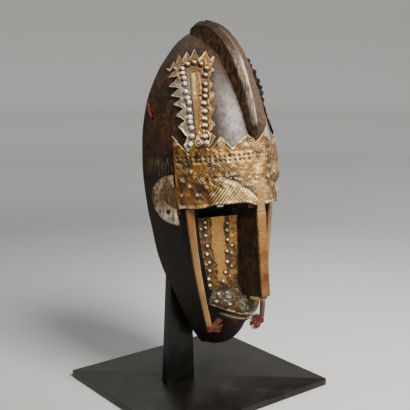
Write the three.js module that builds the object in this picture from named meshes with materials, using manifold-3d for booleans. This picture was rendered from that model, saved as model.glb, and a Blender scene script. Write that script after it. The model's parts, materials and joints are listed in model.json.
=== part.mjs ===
// A Marka mask on its steel display stand, in millimetres, +Z up, the mask facing -Y.
// The origin is the middle of the underside of the stand's base plate.
import * as THREE from "three";
import { mergeVertices } from "three/addons/utils/BufferGeometryUtils.js";
import Module from "manifold-3d";

const wasm = await Module();
wasm.setup();

// Driving dimensions of the stand. The post's two edges lean in as it rises.
const BASE = { width: 240, depth: 218, thickness: 8.5 };
const POST = {
  front: -3,
  thickness: 11.5,
  top: 262,
  left: -49.5,
  right: -7.6,
  leftLean: 0.052,
  rightLean: -0.026,
};
const ARM = { height: 7, reach: 130, clearance: 0.45, behindRim: -60 };
const UPPER_ARM = { left: -34, right: -20, z: 246 };
const LOWER_ARM = { left: -23, right: -14, z: 104 };

// The mask's own frame: u across to the viewer's right, w forward from the flat rim at
// the back, v up from the underside of the chin. The mask leans back on its stand.
const LEAN_DEGREES = 6;
const PIVOT_V = 190;
const PIVOT_Z = 249.4;

// Touching pieces keep this gap, and the sheet metal has this thickness
const GAP = 0.3;
const SHEET = 1;
const WALL = 10;

// Profiles of the wooden body, each a list of [height v, value]
const BROW_V = 172;
const CROWN_V = 371;
const HALF_WIDTH = through([
  [-2, 4], [0, 9], [8, 15], [18, 21.5], [50, 36.6], [69, 44.4], [100, 58.3], [123, 65], [152, 69.8],
  [173, 73.3], [215, 76.2], [252, 74], [292, 65], [330, 45], [347, 30.5], [360, 17.5], [371, 1],
]);
const DOME_DEPTH = through([
  [172, 111], [194, 113], [215, 113.5], [236, 112.5], [252, 109.5], [268, 104], [292, 91.5],
  [313, 77], [330, 63], [345, 46], [358, 28], [366, 14], [371, 1],
]);
const DOME_LIFT = through([
  [172, 0], [236, 1], [268, 4], [292, 8], [313, 12], [330, 14], [345, 12], [366, 4], [371, 0],
]);
const DOME_POWER = through([[172, 2.08], [240, 2.05], [268, 1.93], [290, 2.05], [320, 2.3], [371, 2.2]]);
const DOME_ROWS = [BROW_V, 183, 194, 208, 222, 236, 252, 268, 282, 296, 310, 322, 334, 345, 355, 363, 369];

// Rows of the face below the brow: height, the temple and the cheek's outer edge as
// [u, w], the depth on the middle line, and how round the front is (1 is a wedge)
const FACE_ROWS = [
  { v: 170.5, temple: [66.2, 50], corner: [52, 62], front: 88, round: 1 },
  { v: 158, temple: [65, 50], corner: [51, 62], front: 87, round: 1 },
  { v: 140, temple: [61.5, 50], corner: [49.5, 62], front: 85.5, round: 1 },
  { v: 122, temple: [57.5, 50], corner: [47.5, 62], front: 84, round: 1 },
  { v: 102, temple: [51.5, 49], corner: [43.5, 61], front: 83, round: 1 },
  { v: 86, temple: [45.5, 47], corner: [39.5, 59], front: 82, round: 1 },
  { v: 76, temple: [41, 44], corner: [36.5, 56], front: 84, round: 1.15 },
  { v: 69, temple: [38.5, 41], corner: [35, 53], front: 88, round: 1.35 },
  { v: 64, temple: [36.5, 38], corner: [34, 50], front: 90.5, round: 1.5 },
  { v: 57, temple: [34.5, 35], corner: [33, 46], front: 92, round: 1.5 },
  { v: 51, temple: [32.5, 32], corner: [31.5, 43], front: 89.5, round: 1.5 },
  { v: 47, temple: [31, 30], corner: [30, 41], front: 84.5, round: 1.5 },
  { v: 45.5, temple: [30.5, 29], corner: [29.5, 40], front: 76, round: 1.6 },
  { v: 43.5, temple: [30, 28], corner: [29, 39], front: 77, round: 1.6 },
  { v: 42, temple: [29.5, 27], corner: [28, 38], front: 81.5, round: 1.6 },
  { v: 38, temple: [28, 25], corner: [27, 36], front: 77, round: 1.7 },
  { v: 34, temple: [26.5, 23], corner: [25, 34], front: 70, round: 1.8 },
  { v: 26, temple: [23.5, 20], corner: [21.5, 30], front: 63, round: 1.9 },
  { v: 17, temple: [19, 15], corner: [17, 24], front: 54.5, round: 2 },
  { v: 9, temple: [14, 11], corner: [12, 18], front: 44, round: 2 },
  { v: 3, temple: [9.5, 8], corner: [8, 13], front: 31, round: 2 },
  { v: -0.5, temple: [5, 4], corner: [4, 7], front: 15, round: 2 },
];
const SIDE_STEPS = 3;
const FRONT_STEPS = 8;
const HALF_STEPS = SIDE_STEPS + 1 + FRONT_STEPS;
const SIDE_BULGE = 1.5;
const TONGUE_V = 44.5;
const MOUTH_RISE = 11;

// Rows of the hollow inside below its dome, [v, half width, depth], and the hollow's reach
const HOLLOW_ROWS = [
  [17, 9, 15], [30, 17, 27], [45, 24, 34], [62, 31, 38], [82, 40, 42], [102, 48.5, 44], [126, 55.5, 46],
  [150, 59, 47], [164, 61, 49], [173, 62.5, 60], [181, 64, 78],
];
const HOLLOW_DOME = { from: 196, across: 0.869, forward: 0.895, up: 0.945 };
const HOLLOW_FOOT_V = 12;
const HOLLOW_POWER = 2.1;
const HOLLOW_STEPS = 12;
const HOLLOW_BACK = -6;

const EYE_SLOT = { inner: 14, outer: 49, back: 30, front: 120, bottom: 158.5, top: 171.2 };
const NOSE = { front: 114.3, root: 70, top: 174, bottom: 71, frontHalf: 5, rootHalf: 8 };

const mix = (a, b, t) => a + (b - a) * t;

// Smooth curve through [x, y] points that never overshoots them
function through(points) {
  const x = points.map((p) => p[0]);
  const y = points.map((p) => p[1]);
  const last = x.length - 1;
  const slope = x.slice(1).map((next, i) => (y[i + 1] - y[i]) / (next - x[i]));
  const tangent = x.map((_, i) => {
    if (i === 0) return slope[0];
    if (i === last) return slope[last - 1];
    const turning = slope[i - 1] * slope[i];
    return turning <= 0 ? 0 : (2 * turning) / (slope[i - 1] + slope[i]);
  });
  return (at) => {
    const clamped = Math.min(Math.max(at, x[0]), x[last]);
    let i = 0;
    while (i < last - 1 && clamped > x[i + 1]) i += 1;
    const span = x[i + 1] - x[i];
    const t = (clamped - x[i]) / span;
    const rise = y[i + 1] - y[i];
    const lift = 3 * rise - span * (2 * tangent[i] + tangent[i + 1]);
    const twist = span * (tangent[i] + tangent[i + 1]) - 2 * rise;
    return y[i] + t * span * tangent[i] + t * t * (lift + t * twist);
  };
}

// Point on the dome. row is the height at the rim, and turn runs from -1 at the left rim
// over the front to 1 at the right rim.
function domePoint(row, turn) {
  const angle = (turn * Math.PI) / 2;
  const power = 2 / DOME_POWER(row);
  const across = Math.sign(angle) * Math.abs(Math.sin(angle)) ** power;
  const forward = Math.max(Math.cos(angle), 0) ** power;
  return [HALF_WIDTH(row) * across, DOME_DEPTH(row) * forward, row + DOME_LIFT(row) * forward];
}

function domeNormal(row, turn) {
  const step = 0.01;
  const along = difference(domePoint(row, turn + step), domePoint(row, turn - step));
  const up = difference(domePoint(row + step, turn), domePoint(row - step, turn));
  return unit(cross(up, along));
}

const difference = (a, b) => a.map((value, i) => value - b[i]);
const cross = (a, b) => [a[1] * b[2] - a[2] * b[1], a[2] * b[0] - a[0] * b[2], a[0] * b[1] - a[1] * b[0]];
const unit = (a) => a.map((value) => value / Math.hypot(...a));
const along = (a, direction, distance) => a.map((value, i) => value + direction[i] * distance);

// One face row from rim to rim. The mouth line rises towards its corners.
function faceRow(row) {
  const rim = HALF_WIDTH(row.v);
  const half = [];
  for (let i = 0; i <= SIDE_STEPS; i += 1) {
    const t = i / SIDE_STEPS;
    half.push([mix(rim, row.temple[0], t) + SIDE_BULGE * Math.sin(Math.PI * t), row.temple[1] * t, 0]);
  }
  for (let i = 0; i <= FRONT_STEPS; i += 1) {
    const across = 1 - i / FRONT_STEPS;
    const forward = (1 - across ** row.round) ** (1 / row.round);
    half.push([row.corner[0] * across, mix(row.corner[1], row.front, forward), across ** 2]);
  }
  const nearMouth = Math.max(0, 1 - Math.abs(row.v - TONGUE_V) / 20);
  const place = (side) => ([u, w, outwards]) => [side * u, w, row.v + MOUTH_RISE * nearMouth * outwards];
  return [...half.map(place(-1)), ...half.slice(0, -1).reverse().map(place(1))];
}

function domeRow(row) {
  return Array.from({ length: 2 * HALF_STEPS + 1 }, (_, i) => domePoint(row, i / HALF_STEPS - 1));
}

// Rows of the wooden body from the chin up, pushed out along their normals
function bodyRows(offset) {
  const rows = [...FACE_ROWS.map(faceRow).reverse(), ...DOME_ROWS.map(domeRow)];
  const within = (i, last) => Math.min(Math.max(i, 0), last);
  const at = (r, c) => rows[within(r, rows.length - 1)][within(c, 2 * HALF_STEPS)];
  const moved = (point, r, c) => {
    const across = difference(at(r, c + 1), at(r, c - 1));
    const up = difference(at(r + 1, c), at(r - 1, c));
    return along(point, unit(cross(up, across)), offset);
  };
  return rows.map((row, r) => row.map((point, c) => (offset === 0 ? point : moved(point, r, c))));
}

// Rows of the hollow, which is shrunk by a clearance and runs out behind the rim
function hollowRows(shrink, back) {
  const section = (v, half, depth, lift) => {
    const points = Array.from({ length: HOLLOW_STEPS + 1 }, (_, i) => {
      const angle = (i / HOLLOW_STEPS - 0.5) * Math.PI;
      const across = Math.sign(angle) * Math.abs(Math.sin(angle)) ** (2 / HOLLOW_POWER);
      const forward = Math.max(Math.cos(angle), 0) ** (2 / HOLLOW_POWER);
      return [(half - shrink) * across, (depth - shrink) * forward, v + lift * forward];
    });
    return [[shrink - half, back, v], ...points, [half - shrink, back, v]];
  };
  const lower = HOLLOW_ROWS.map(([v, half, depth]) => section(v, half, depth, 0));
  const upper = DOME_ROWS.filter((row) => row >= HOLLOW_DOME.from).map((row) => {
    const v = PIVOT_V + (row - PIVOT_V) * HOLLOW_DOME.up;
    const half = HALF_WIDTH(row) * HOLLOW_DOME.across;
    return section(v, half, DOME_DEPTH(row) * HOLLOW_DOME.forward, DOME_LIFT(row) * HOLLOW_DOME.up);
  });
  return [...lower, ...upper];
}

function makeHollow(shrink, back) {
  return closeRows(hollowRows(shrink, back), [0, back, HOLLOW_FOOT_V], [0, back, CROWN_V - WALL]);
}

// A closed triangle mesh in the mask's frame as a manifold solid
function solid(points, faces) {
  const mesh = new wasm.Mesh({
    numProp: 3,
    vertProperties: new Float32Array(points.flatMap(([u, w, v]) => [u, -w, v - PIVOT_V])),
    triVerts: new Uint32Array(faces.flat()),
  });
  return new wasm.Manifold(mesh);
}

// Closed solid of rows of points, with a flat back and one point at either end. The two
// halves are cut into triangles as mirror images of each other.
function closeRows(rows, foot, crown) {
  const width = rows[0].length;
  const points = [foot, ...rows.flat(), crown];
  const top = rows.length - 1;
  const at = (r, c) => 1 + r * width + (c % width);
  const faces = [];
  for (let c = 0; c < width; c += 1) {
    faces.push([0, at(0, c + 1), at(0, c)]);
    faces.push([points.length - 1, at(top, c), at(top, c + 1)]);
    const leftHalf = 2 * c + 1 < width;
    for (let r = 0; r < top; r += 1) {
      const [a, b, d, e] = [at(r, c), at(r, c + 1), at(r + 1, c + 1), at(r + 1, c)];
      faces.push(...(leftHalf ? [[a, b, d], [a, d, e]] : [[a, b, e], [b, d, e]]));
    }
  }
  return solid(points, faces);
}

// Closed sheet between a grid of points and the same grid moved along its normals
function closeSheet(points, normals, gap, thickness) {
  const rows = points.length;
  const width = points[0].length;
  const lifted = (distance) => points.map((row, r) => row.map((p, c) => along(p, normals[r][c], distance)));
  const at = (side, r, c) => side * rows * width + r * width + c;
  const faces = [];
  const quad = (a, b, c, d) => faces.push([a, b, c], [a, c, d]);
  for (let r = 0; r < rows - 1; r += 1) {
    for (let c = 0; c < width - 1; c += 1) {
      quad(at(1, r, c), at(1, r, c + 1), at(1, r + 1, c + 1), at(1, r + 1, c));
      quad(at(0, r, c), at(0, r + 1, c), at(0, r + 1, c + 1), at(0, r, c + 1));
    }
    quad(at(0, r, 0), at(1, r, 0), at(1, r + 1, 0), at(0, r + 1, 0));
    quad(at(0, r, width - 1), at(0, r + 1, width - 1), at(1, r + 1, width - 1), at(1, r, width - 1));
  }
  for (let c = 0; c < width - 1; c += 1) {
    quad(at(0, 0, c), at(0, 0, c + 1), at(1, 0, c + 1), at(1, 0, c));
    quad(at(0, rows - 1, c), at(1, rows - 1, c), at(1, rows - 1, c + 1), at(0, rows - 1, c + 1));
  }
  return solid([...lifted(gap).flat(), ...lifted(gap + thickness).flat()], faces);
}

function fromGeometry(geometry) {
  const bare = geometry.clone();
  bare.deleteAttribute("normal");
  bare.deleteAttribute("uv");
  const merged = mergeVertices(bare);
  const mesh = new wasm.Mesh({
    numProp: 3,
    vertProperties: new Float32Array(merged.attributes.position.array),
    triVerts: new Uint32Array(merged.index.array),
  });
  return new wasm.Manifold(mesh);
}

function toGeometry(manifold) {
  const mesh = manifold.getMesh();
  const geometry = new THREE.BufferGeometry();
  geometry.setAttribute("position", new THREE.BufferAttribute(new Float32Array(mesh.vertProperties), 3));
  geometry.setIndex(new THREE.BufferAttribute(new Uint32Array(mesh.triVerts), 1));
  return geometry;
}

// Convex solid around points of the mask's frame
function hull(points) {
  return wasm.Manifold.hull(points.map(([u, w, v]) => [u, -w, v - PIVOT_V]));
}

function block([u0, w0, v0], [u1, w1, v1]) {
  const corners = [];
  for (const u of [u0, u1]) {
    for (const w of [w0, w1]) corners.push([u, w, v0], [u, w, v1]);
  }
  return hull(corners);
}

// Prism of a front outline of [u, v] points that runs from depth near to depth far
function frontPrism(outline, near, far) {
  const shape = new THREE.Shape(outline.map(([u, v]) => new THREE.Vector2(u, v - PIVOT_V)));
  const geometry = new THREE.ExtrudeGeometry(shape, { depth: far - near, bevelEnabled: false });
  geometry.rotateX(Math.PI / 2);
  geometry.translate(0, -near, 0);
  return fromGeometry(geometry);
}

// Prism of a side outline of [w, v] points between two values of u
function sidePrism(outline, uFrom, uTo) {
  const shape = new THREE.Shape(outline.map(([w, v]) => new THREE.Vector2(w, v - PIVOT_V)));
  const geometry = new THREE.ExtrudeGeometry(shape, { depth: uTo - uFrom, bevelEnabled: false });
  const basis = new THREE.Matrix4().makeBasis(
    new THREE.Vector3(0, -1, 0),
    new THREE.Vector3(0, 0, 1),
    new THREE.Vector3(-1, 0, 0),
  );
  geometry.applyMatrix4(basis);
  geometry.translate(uTo, 0, 0);
  return fromGeometry(geometry);
}

const bodyOffset = (offset) => closeRows(bodyRows(offset), [0, 0, -2 - offset], [0, 0, CROWN_V + offset]);

// The keel on top of the head: its ridge line and the dome line under it as [w, v]
const CREST_RIDGE = [
  [12, 371], [15, 377], [25, 382], [38, 383], [53, 379], [67, 371], [80.5, 359], [91.5, 346],
  [101.5, 329.5], [109.5, 311.5], [116, 294.5], [120.5, 278.5], [123, 265], [122, 257], [112.5, 243.5],
];
const CREST_HALF = [5, 6.5, 8, 8, 8, 8, 8, 8, 8, 8, 8, 8, 8, 6, 1];
const CREST_FOOT = [
  [6, 362], [10, 362], [19, 360], [29, 357], [40, 351], [51, 342], [62, 331], [72, 317],
  [81, 301], [89, 285], [95, 270], [99, 257], [102, 248], [104, 243], [105, 240],
];

function makeCrest() {
  const rows = CREST_RIDGE.map(([w, v], i) => {
    const half = CREST_HALF[i];
    const [footW, footV] = CREST_FOOT[i];
    const at = (across, rise) => [across * half, mix(footW, w, rise), mix(footV, v, rise)];
    return [at(-1.15, 0), at(-1, 0.92), at(0, 1), at(1, 0.92), at(1.15, 0)];
  });
  return closeRows(rows.reverse(), [0, 104, 240], [0, 5, 366]);
}

function makeNose() {
  const { front, root, top, bottom, frontHalf, rootHalf } = NOSE;
  const points = [];
  for (const side of [-1, 1]) {
    for (const v of [bottom, top]) points.push([side * frontHalf, front, v], [side * rootHalf, root, v]);
  }
  return hull(points);
}

// A raised C on the side wall, open towards the face
const EAR = { w: 50, v: 184, deep: 34, tall: 28.5, opening: 0.5, relief: 6, inside: 62, outside: 95 };

function makeEar(side) {
  const steps = 8;
  const arc = (scale) => Array.from({ length: steps + 1 }, (_, i) => {
    const angle = Math.PI * (0.5 + i / steps);
    return [EAR.w + EAR.deep * scale * Math.cos(angle), EAR.v + EAR.tall * scale * Math.sin(angle)];
  });
  const reach = [side * EAR.inside, side * EAR.outside];
  const ring = sidePrism([...arc(1), ...arc(EAR.opening).reverse()], Math.min(...reach), Math.max(...reach));
  return ring.intersect(bodyOffset(EAR.relief));
}

function makeBody() {
  const { inner, outer, back, front, bottom, top } = EYE_SLOT;
  const eyeSlot = (side) => block([side * inner, back, bottom], [side * outer, front, top]);
  return bodyOffset(0)
    .add(makeCrest())
    .add(makeNose())
    .add(makeEar(-1))
    .add(makeEar(1))
    .subtract(makeHollow(0, HOLLOW_BACK))
    .subtract(eyeSlot(-1))
    .subtract(eyeSlot(1));
}

// The thin sheet that follows the wood at a small gap, before it is trimmed to an outline
const skin = bodyOffset(GAP + SHEET).subtract(bodyOffset(GAP));

// The brow band, whose upper edge is a row of points given as [turn, row]
const BAND = { lower: 174.5, gap: 0.6, rows: 4 };
const BAND_EDGE = [
  [0, 237.5], [0.09, 250], [0.235, 238], [0.32, 250], [0.425, 237.5], [0.5, 252], [0.58, 234], [0.7, 254],
];

function makeBand() {
  const half = BAND_EDGE.flatMap(([turn, row], i) => {
    if (i === 0) return [[turn, row]];
    const [turnBefore, rowBefore] = BAND_EDGE[i - 1];
    return [[(turn + turnBefore) / 2, (row + rowBefore) / 2], [turn, row]];
  });
  const edge = [...half.slice(1).reverse().map(([turn, row]) => [-turn, row]), ...half];
  const points = [];
  const normals = [];
  for (let r = 0; r <= BAND.rows; r += 1) {
    const row = (top) => mix(BAND.lower, top, r / BAND.rows);
    points.push(edge.map(([turn, top]) => domePoint(row(top), turn)));
    normals.push(edge.map(([turn, top]) => domeNormal(row(top), turn)));
  }
  return closeSheet(points, normals, BAND.gap, SHEET);
}

// A low round boss that stands on the dome or on a flat cheek, seated inside the sheet
const BOSS_SEAT = GAP + 0.7 * SHEET;

function boss(point, normal, radius) {
  const sides = 5;
  const outward = new THREE.Vector3(normal[0], -normal[1], normal[2]);
  const spin = new THREE.Quaternion().setFromUnitVectors(new THREE.Vector3(0, 0, 1), outward);
  const base = new THREE.Vector3(point[0], -point[1], point[2] - PIVOT_V);
  const ring = (r, height) => Array.from({ length: sides }, (_, i) => {
    const angle = (2 * Math.PI * i) / sides;
    return new THREE.Vector3(r * Math.cos(angle), r * Math.sin(angle), height);
  });
  const points = [...ring(radius, 0), ...ring(radius * 0.6, radius * 0.9)];
  return wasm.Manifold.hull(points.map((p) => p.applyQuaternion(spin).add(base).toArray()));
}

// The forehead plate to the left of the crest. Its edges run in saw teeth, and its bosses
// stand in two columns joined by a row at the top.
const PLATE = {
  bottom: 250,
  top: 332,
  left: [-0.64, -0.81],
  right: [-0.392, -0.155],
  tail: [[242, -0.61], [236.5, -0.58], [254.5, -0.5], [240, -0.425], [243, -0.395]],
  sideTeeth: 8,
  topTeeth: 6,
  toothTurn: 0.055,
  toothRow: 6,
  cutBehind: 30,
  cutBefore: 20,
};
const PLATE_BOSSES = [
  { from: [256, -0.572], to: [318, -0.597], count: 10, radius: 2.6 },
  { from: [256, -0.425], to: [314, -0.318], count: 8, radius: 3 },
  { from: [323.5, -0.53], to: [321, -0.38], count: 3, radius: 2.8 },
];

function plateOutline() {
  const outline = [];
  const climb = (i) => i / (2 * PLATE.sideTeeth);
  for (let i = 0; i <= 2 * PLATE.sideTeeth; i += 1) {
    const inset = i % 2 === 1 ? PLATE.toothTurn : 0;
    outline.push([mix(PLATE.bottom, PLATE.top, climb(i)), mix(...PLATE.right, climb(i)) - inset]);
  }
  for (let i = 1; i < 2 * PLATE.topTeeth; i += 1) {
    const reach = i % 2 === 1 ? PLATE.toothRow : 0;
    outline.push([PLATE.top + reach, mix(PLATE.right[1], PLATE.left[1], i / (2 * PLATE.topTeeth))]);
  }
  for (let i = 2 * PLATE.sideTeeth; i >= 0; i -= 1) {
    const inset = i % 2 === 1 ? PLATE.toothTurn : 0;
    outline.push([mix(PLATE.bottom, PLATE.top, climb(i)), mix(...PLATE.left, climb(i)) + inset]);
  }
  return [...outline, ...PLATE.tail];
}

function makePlate() {
  const middle = [(PLATE.bottom + PLATE.top) / 2, (PLATE.left[0] + PLATE.right[0]) / 2];
  const toVector = ([u, w, v]) => new THREE.Vector3(u, -w, v);
  const origin = toVector(domePoint(...middle));
  const out = toVector(domeNormal(...middle)).normalize();
  const level = new THREE.Vector3(0, 0, 1).cross(out).normalize();
  const rise = out.clone().cross(level);
  const flat = plateOutline().map(([row, turn]) => {
    const reach = toVector(domePoint(row, turn)).sub(origin);
    return new THREE.Vector2(reach.dot(level), reach.dot(rise));
  });
  const depth = PLATE.cutBehind + PLATE.cutBefore;
  const geometry = new THREE.ExtrudeGeometry(new THREE.Shape(flat), { depth, bevelEnabled: false });
  geometry.translate(0, 0, -PLATE.cutBehind);
  geometry.applyMatrix4(new THREE.Matrix4().makeBasis(level, rise, out));
  geometry.translate(origin.x, origin.y, origin.z - PIVOT_V);
  let plate = skin.intersect(fromGeometry(geometry));
  for (const column of PLATE_BOSSES) {
    for (let i = 0; i < column.count; i += 1) {
      const t = i / (column.count - 1);
      const row = mix(column.from[0], column.to[0], t);
      const turn = mix(column.from[1], column.to[1], t);
      const normal = domeNormal(row, turn);
      plate = plate.add(boss(along(domePoint(row, turn), normal, BOSS_SEAT), normal, column.radius));
    }
  }
  return plate;
}

// Point on the left cheek panel at height v, where across is the share of its width
function cheekPoint(v, across) {
  const upper = FACE_ROWS.findIndex((row) => row.v <= v) - 1;
  const [a, b] = [FACE_ROWS[upper], FACE_ROWS[upper + 1]];
  const t = (v - b.v) / (a.v - b.v);
  const u = mix(b.corner[0], a.corner[0], t);
  const w = mix(b.corner[1], a.corner[1], t);
  const front = mix(b.front, a.front, t);
  return [-u * across, mix(front, w, across), v];
}

const CHEEK_OUTLINE = [
  [-49.5, 157.3], [-9.5, 157.3], [-9.5, 79], [-35.5, 79], [-38.5, 86], [-42.5, 102], [-46.2, 122], [-48, 140],
];
const CHEEK_BOSSES = [
  { from: [153, 0.83], to: [84, 0.89], count: 8 },
  { from: [153, 0.35], to: [84, 0.56], count: 8 },
];
const CHEEK_BOSS_RADIUS = 2.7;
const CHEEK_CUT = { near: 40, far: 100 };

function makeCheek() {
  let cheek = skin.intersect(frontPrism(CHEEK_OUTLINE, CHEEK_CUT.near, CHEEK_CUT.far));
  for (const column of CHEEK_BOSSES) {
    for (let i = 0; i < column.count; i += 1) {
      const t = i / (column.count - 1);
      const v = mix(column.from[0], column.to[0], t);
      const across = mix(column.from[1], column.to[1], t);
      const normal = unit(cross(difference(cheekPoint(v, 1), cheekPoint(v, 0)), [0, 0, 1]));
      const seat = along(cheekPoint(v, across), normal, BOSS_SEAT);
      cheek = cheek.add(boss(seat, normal, CHEEK_BOSS_RADIUS));
    }
  }
  return cheek;
}

const MOUTH_HALF = [[9.5, 69.5], [9.5, 78], [33.5, 78], [32, 60], [22, 54], [10, 48.5]];
const MOUTH_OUTLINE = [...MOUTH_HALF, ...MOUTH_HALF.map(([u, v]) => [-u, v]).reverse()];
const MOUTH_CUT = { near: 36, far: 105 };

const makeMouthPlate = () => skin.intersect(frontPrism(MOUTH_OUTLINE, MOUTH_CUT.near, MOUTH_CUT.far));

// The nose strip is folded over the nose and laps up over the band
const STRIP = { wrap: 4, top: 169.5, tabBottom: 168, tabTop: 189, bottom: 71.5 };

function makeStrip() {
  const noseHalf = mix(NOSE.frontHalf, NOSE.rootHalf, STRIP.wrap / (NOSE.front - NOSE.root));
  const inner = noseHalf + GAP;
  const face = NOSE.front + GAP;
  const outer = inner + SHEET;
  const channel = block([-outer, face - STRIP.wrap, STRIP.bottom], [outer, face + SHEET, STRIP.top])
    .subtract(block([-inner, 0, 0], [inner, face, PIVOT_V]));
  const tab = block([-NOSE.frontHalf, face, STRIP.tabBottom], [NOSE.frontHalf, face + SHEET, STRIP.tabTop]);
  return channel.add(tab);
}

// Flat wooden slats that hang from under the brow, in front of the cheeks
const ROD_SIZE = { across: 11, through: 6, sides: 10 };
const RODS = [
  {
    side: "left",
    top: [-58.8, 62.5, 169.8],
    foot: [-43.4, 64, 37.5],
    fringe: [[13, -3], [15, 2], [12, 9]],
  },
  {
    side: "right",
    top: [51, 71, 169.8],
    foot: [27, 72.5, 35.2],
    fringe: [[13, -3], [18, 0], [18, 6], [14, 10], [9, 13], [3, 8]],
  },
];
const ROD_SLANT = THREE.MathUtils.degToRad(27);

function rodSection([u, w, v], side, scale) {
  return Array.from({ length: ROD_SIZE.sides }, (_, i) => {
    const angle = (2 * Math.PI * i) / ROD_SIZE.sides;
    const across = (ROD_SIZE.across / 2) * scale * Math.cos(angle);
    const deep = (ROD_SIZE.through / 2) * scale * Math.sin(angle);
    const level = across * Math.cos(ROD_SLANT) - deep * Math.sin(ROD_SLANT);
    const forward = across * Math.sin(ROD_SLANT) + deep * Math.cos(ROD_SLANT);
    return [u - side * level, w + forward, v];
  });
}

function makeRod({ side, top, foot }) {
  const sign = side === "left" ? -1 : 1;
  return hull([...rodSection(top, sign, 1), ...rodSection(foot, sign, 0.9)]);
}

// The thread binding and tassel under each slat
function makeTassel({ side, foot: [u, w, v], fringe }) {
  const sign = side === "left" ? -1 : 1;
  const knot = hull([
    ...rodSection([u, w, v - GAP], sign, 0.95),
    ...rodSection([u, w, v - 6], sign, 0.85),
  ]);
  const fan = [];
  for (const deep of [-2, 2]) {
    fan.push([u - sign, w + deep, v - 2.5], [u - sign, w + deep, v - 6]);
    for (const [across, drop] of fringe) fan.push([u - sign * across, w + 3 + deep, v - drop]);
  }
  return knot.add(hull(fan));
}

// Tube along a few points of the mask's frame, closed at both ends
function threadTube(path, radius) {
  const curve = new THREE.CatmullRomCurve3(path.map(([u, w, v]) => new THREE.Vector3(u, -w, v - PIVOT_V)));
  const sides = 6;
  const section = Array.from({ length: sides }, (_, i) => {
    const angle = (2 * Math.PI * i) / sides;
    return new THREE.Vector2(radius * Math.cos(angle), radius * Math.sin(angle));
  });
  const options = { steps: 2 * (path.length - 1), bevelEnabled: false, extrudePath: curve };
  return fromGeometry(new THREE.ExtrudeGeometry(new THREE.Shape(section), options));
}

const NOSE_THREAD = { radius: 1.8, v: 68.7, half: 6.5, front: 110, shoulder: 107, back: 96 };

function makeNoseThread() {
  const { radius, v, half, front, shoulder, back } = NOSE_THREAD;
  const left = [[-half, back, v], [-half, shoulder, v]];
  const right = left.map(([u, w, height]) => [-u, w, height]).reverse();
  return threadTube([...left, [0, front, v], ...right], radius);
}

// A knot of thread on the left side, in front of a lacing hole by the rim
const LACING = { knot: [292, -0.965], end: [278, -0.905], radius: 1.6, clearance: 0.6 };

function makeLacing() {
  const lift = LACING.radius + LACING.clearance;
  const at = (t) => {
    const row = mix(LACING.knot[0], LACING.end[0], t);
    const turn = mix(LACING.knot[1], LACING.end[1], t);
    return along(domePoint(row, turn), domeNormal(row, turn), lift);
  };
  return threadTube([0, 0.33, 0.67, 1].map(at), LACING.radius);
}

const NAIL = { row: 233.5, turn: -0.5, radius: 3.2 };

function makeNail() {
  const normal = domeNormal(NAIL.row, NAIL.turn);
  const seat = along(domePoint(NAIL.row, NAIL.turn), normal, BAND.gap + SHEET + GAP);
  return boss(seat, normal, NAIL.radius);
}

// The steel stand, in the stand's own frame
const box = ([x0, y0, z0], [x1, y1, z1]) =>
  wasm.Manifold.cube([x1 - x0, y1 - y0, z1 - z0]).translate([x0, y0, z0]);

function makeBase() {
  const x = BASE.width / 2;
  const y = BASE.depth / 2;
  return box([-x, -y, 0], [x, y, BASE.thickness]);
}

function makePost() {
  const foot = BASE.thickness + GAP;
  const edge = (start, lean, z) => start + lean * (z - BASE.thickness);
  const corners = [];
  for (const z of [foot, POST.top]) {
    for (const y of [POST.front, POST.front + POST.thickness]) {
      corners.push([edge(POST.left, POST.leftLean, z), y, z], [edge(POST.right, POST.rightLean, z), y, z]);
    }
  }
  return wasm.Manifold.hull(corners);
}

// An arm that reaches forward from the post until it meets the inside of the mask
function makeArm({ left, right, z }) {
  const rear = POST.front - GAP;
  const bar = box([left, rear - ARM.reach, z], [right, rear, z + ARM.height]);
  const inside = makeHollow(ARM.clearance, ARM.behindRim);
  return bar.intersect(inside.rotate([-LEAN_DEGREES, 0, 0]).translate([0, 0, PIVOT_Z]));
}

const materials = {
  wood: new THREE.MeshStandardMaterial({ color: 0x33261d, roughness: 0.6, metalness: 0 }),
  brass: new THREE.MeshStandardMaterial({ color: 0x9a7a3c, roughness: 0.45, metalness: 1 }),
  copper: new THREE.MeshStandardMaterial({ color: 0x8a5a34, roughness: 0.45, metalness: 1 }),
  slat: new THREE.MeshStandardMaterial({ color: 0x7a5a34, roughness: 0.6, metalness: 0 }),
  thread: new THREE.MeshStandardMaterial({ color: 0x9a2a24, roughness: 0.9, metalness: 0 }),
  steel: new THREE.MeshStandardMaterial({ color: 0x2e2c2a, roughness: 0.4, metalness: 1 }),
};

function addPiece(parent, name, shape, material) {
  const mesh = new THREE.Mesh(toGeometry(shape), material);
  mesh.name = name;
  parent.add(mesh);
}

const mirrored = (shape) => shape.mirror([1, 0, 0]);

const mask = new THREE.Group();
mask.position.z = PIVOT_Z;
mask.rotation.x = -THREE.MathUtils.degToRad(LEAN_DEGREES);
addPiece(mask, "mask_body", makeBody(), materials.wood);
addPiece(mask, "brow_band", makeBand(), materials.brass);
addPiece(mask, "brow_nail", makeNail(), materials.copper);
const plate = makePlate();
addPiece(mask, "forehead_plate_left", plate, materials.brass);
addPiece(mask, "forehead_plate_right", mirrored(plate), materials.brass);
const cheek = makeCheek();
addPiece(mask, "cheek_plate_left", cheek, materials.brass);
addPiece(mask, "cheek_plate_right", mirrored(cheek), materials.brass);
addPiece(mask, "mouth_plate", makeMouthPlate(), materials.brass);
addPiece(mask, "nose_strip", makeStrip(), materials.copper);
addPiece(mask, "nose_thread", makeNoseThread(), materials.thread);
addPiece(mask, "lacing_thread", makeLacing(), materials.thread);
for (const rod of RODS) {
  addPiece(mask, `slat_${rod.side}`, makeRod(rod), materials.slat);
  addPiece(mask, `tassel_${rod.side}`, makeTassel(rod), materials.thread);
}

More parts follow.
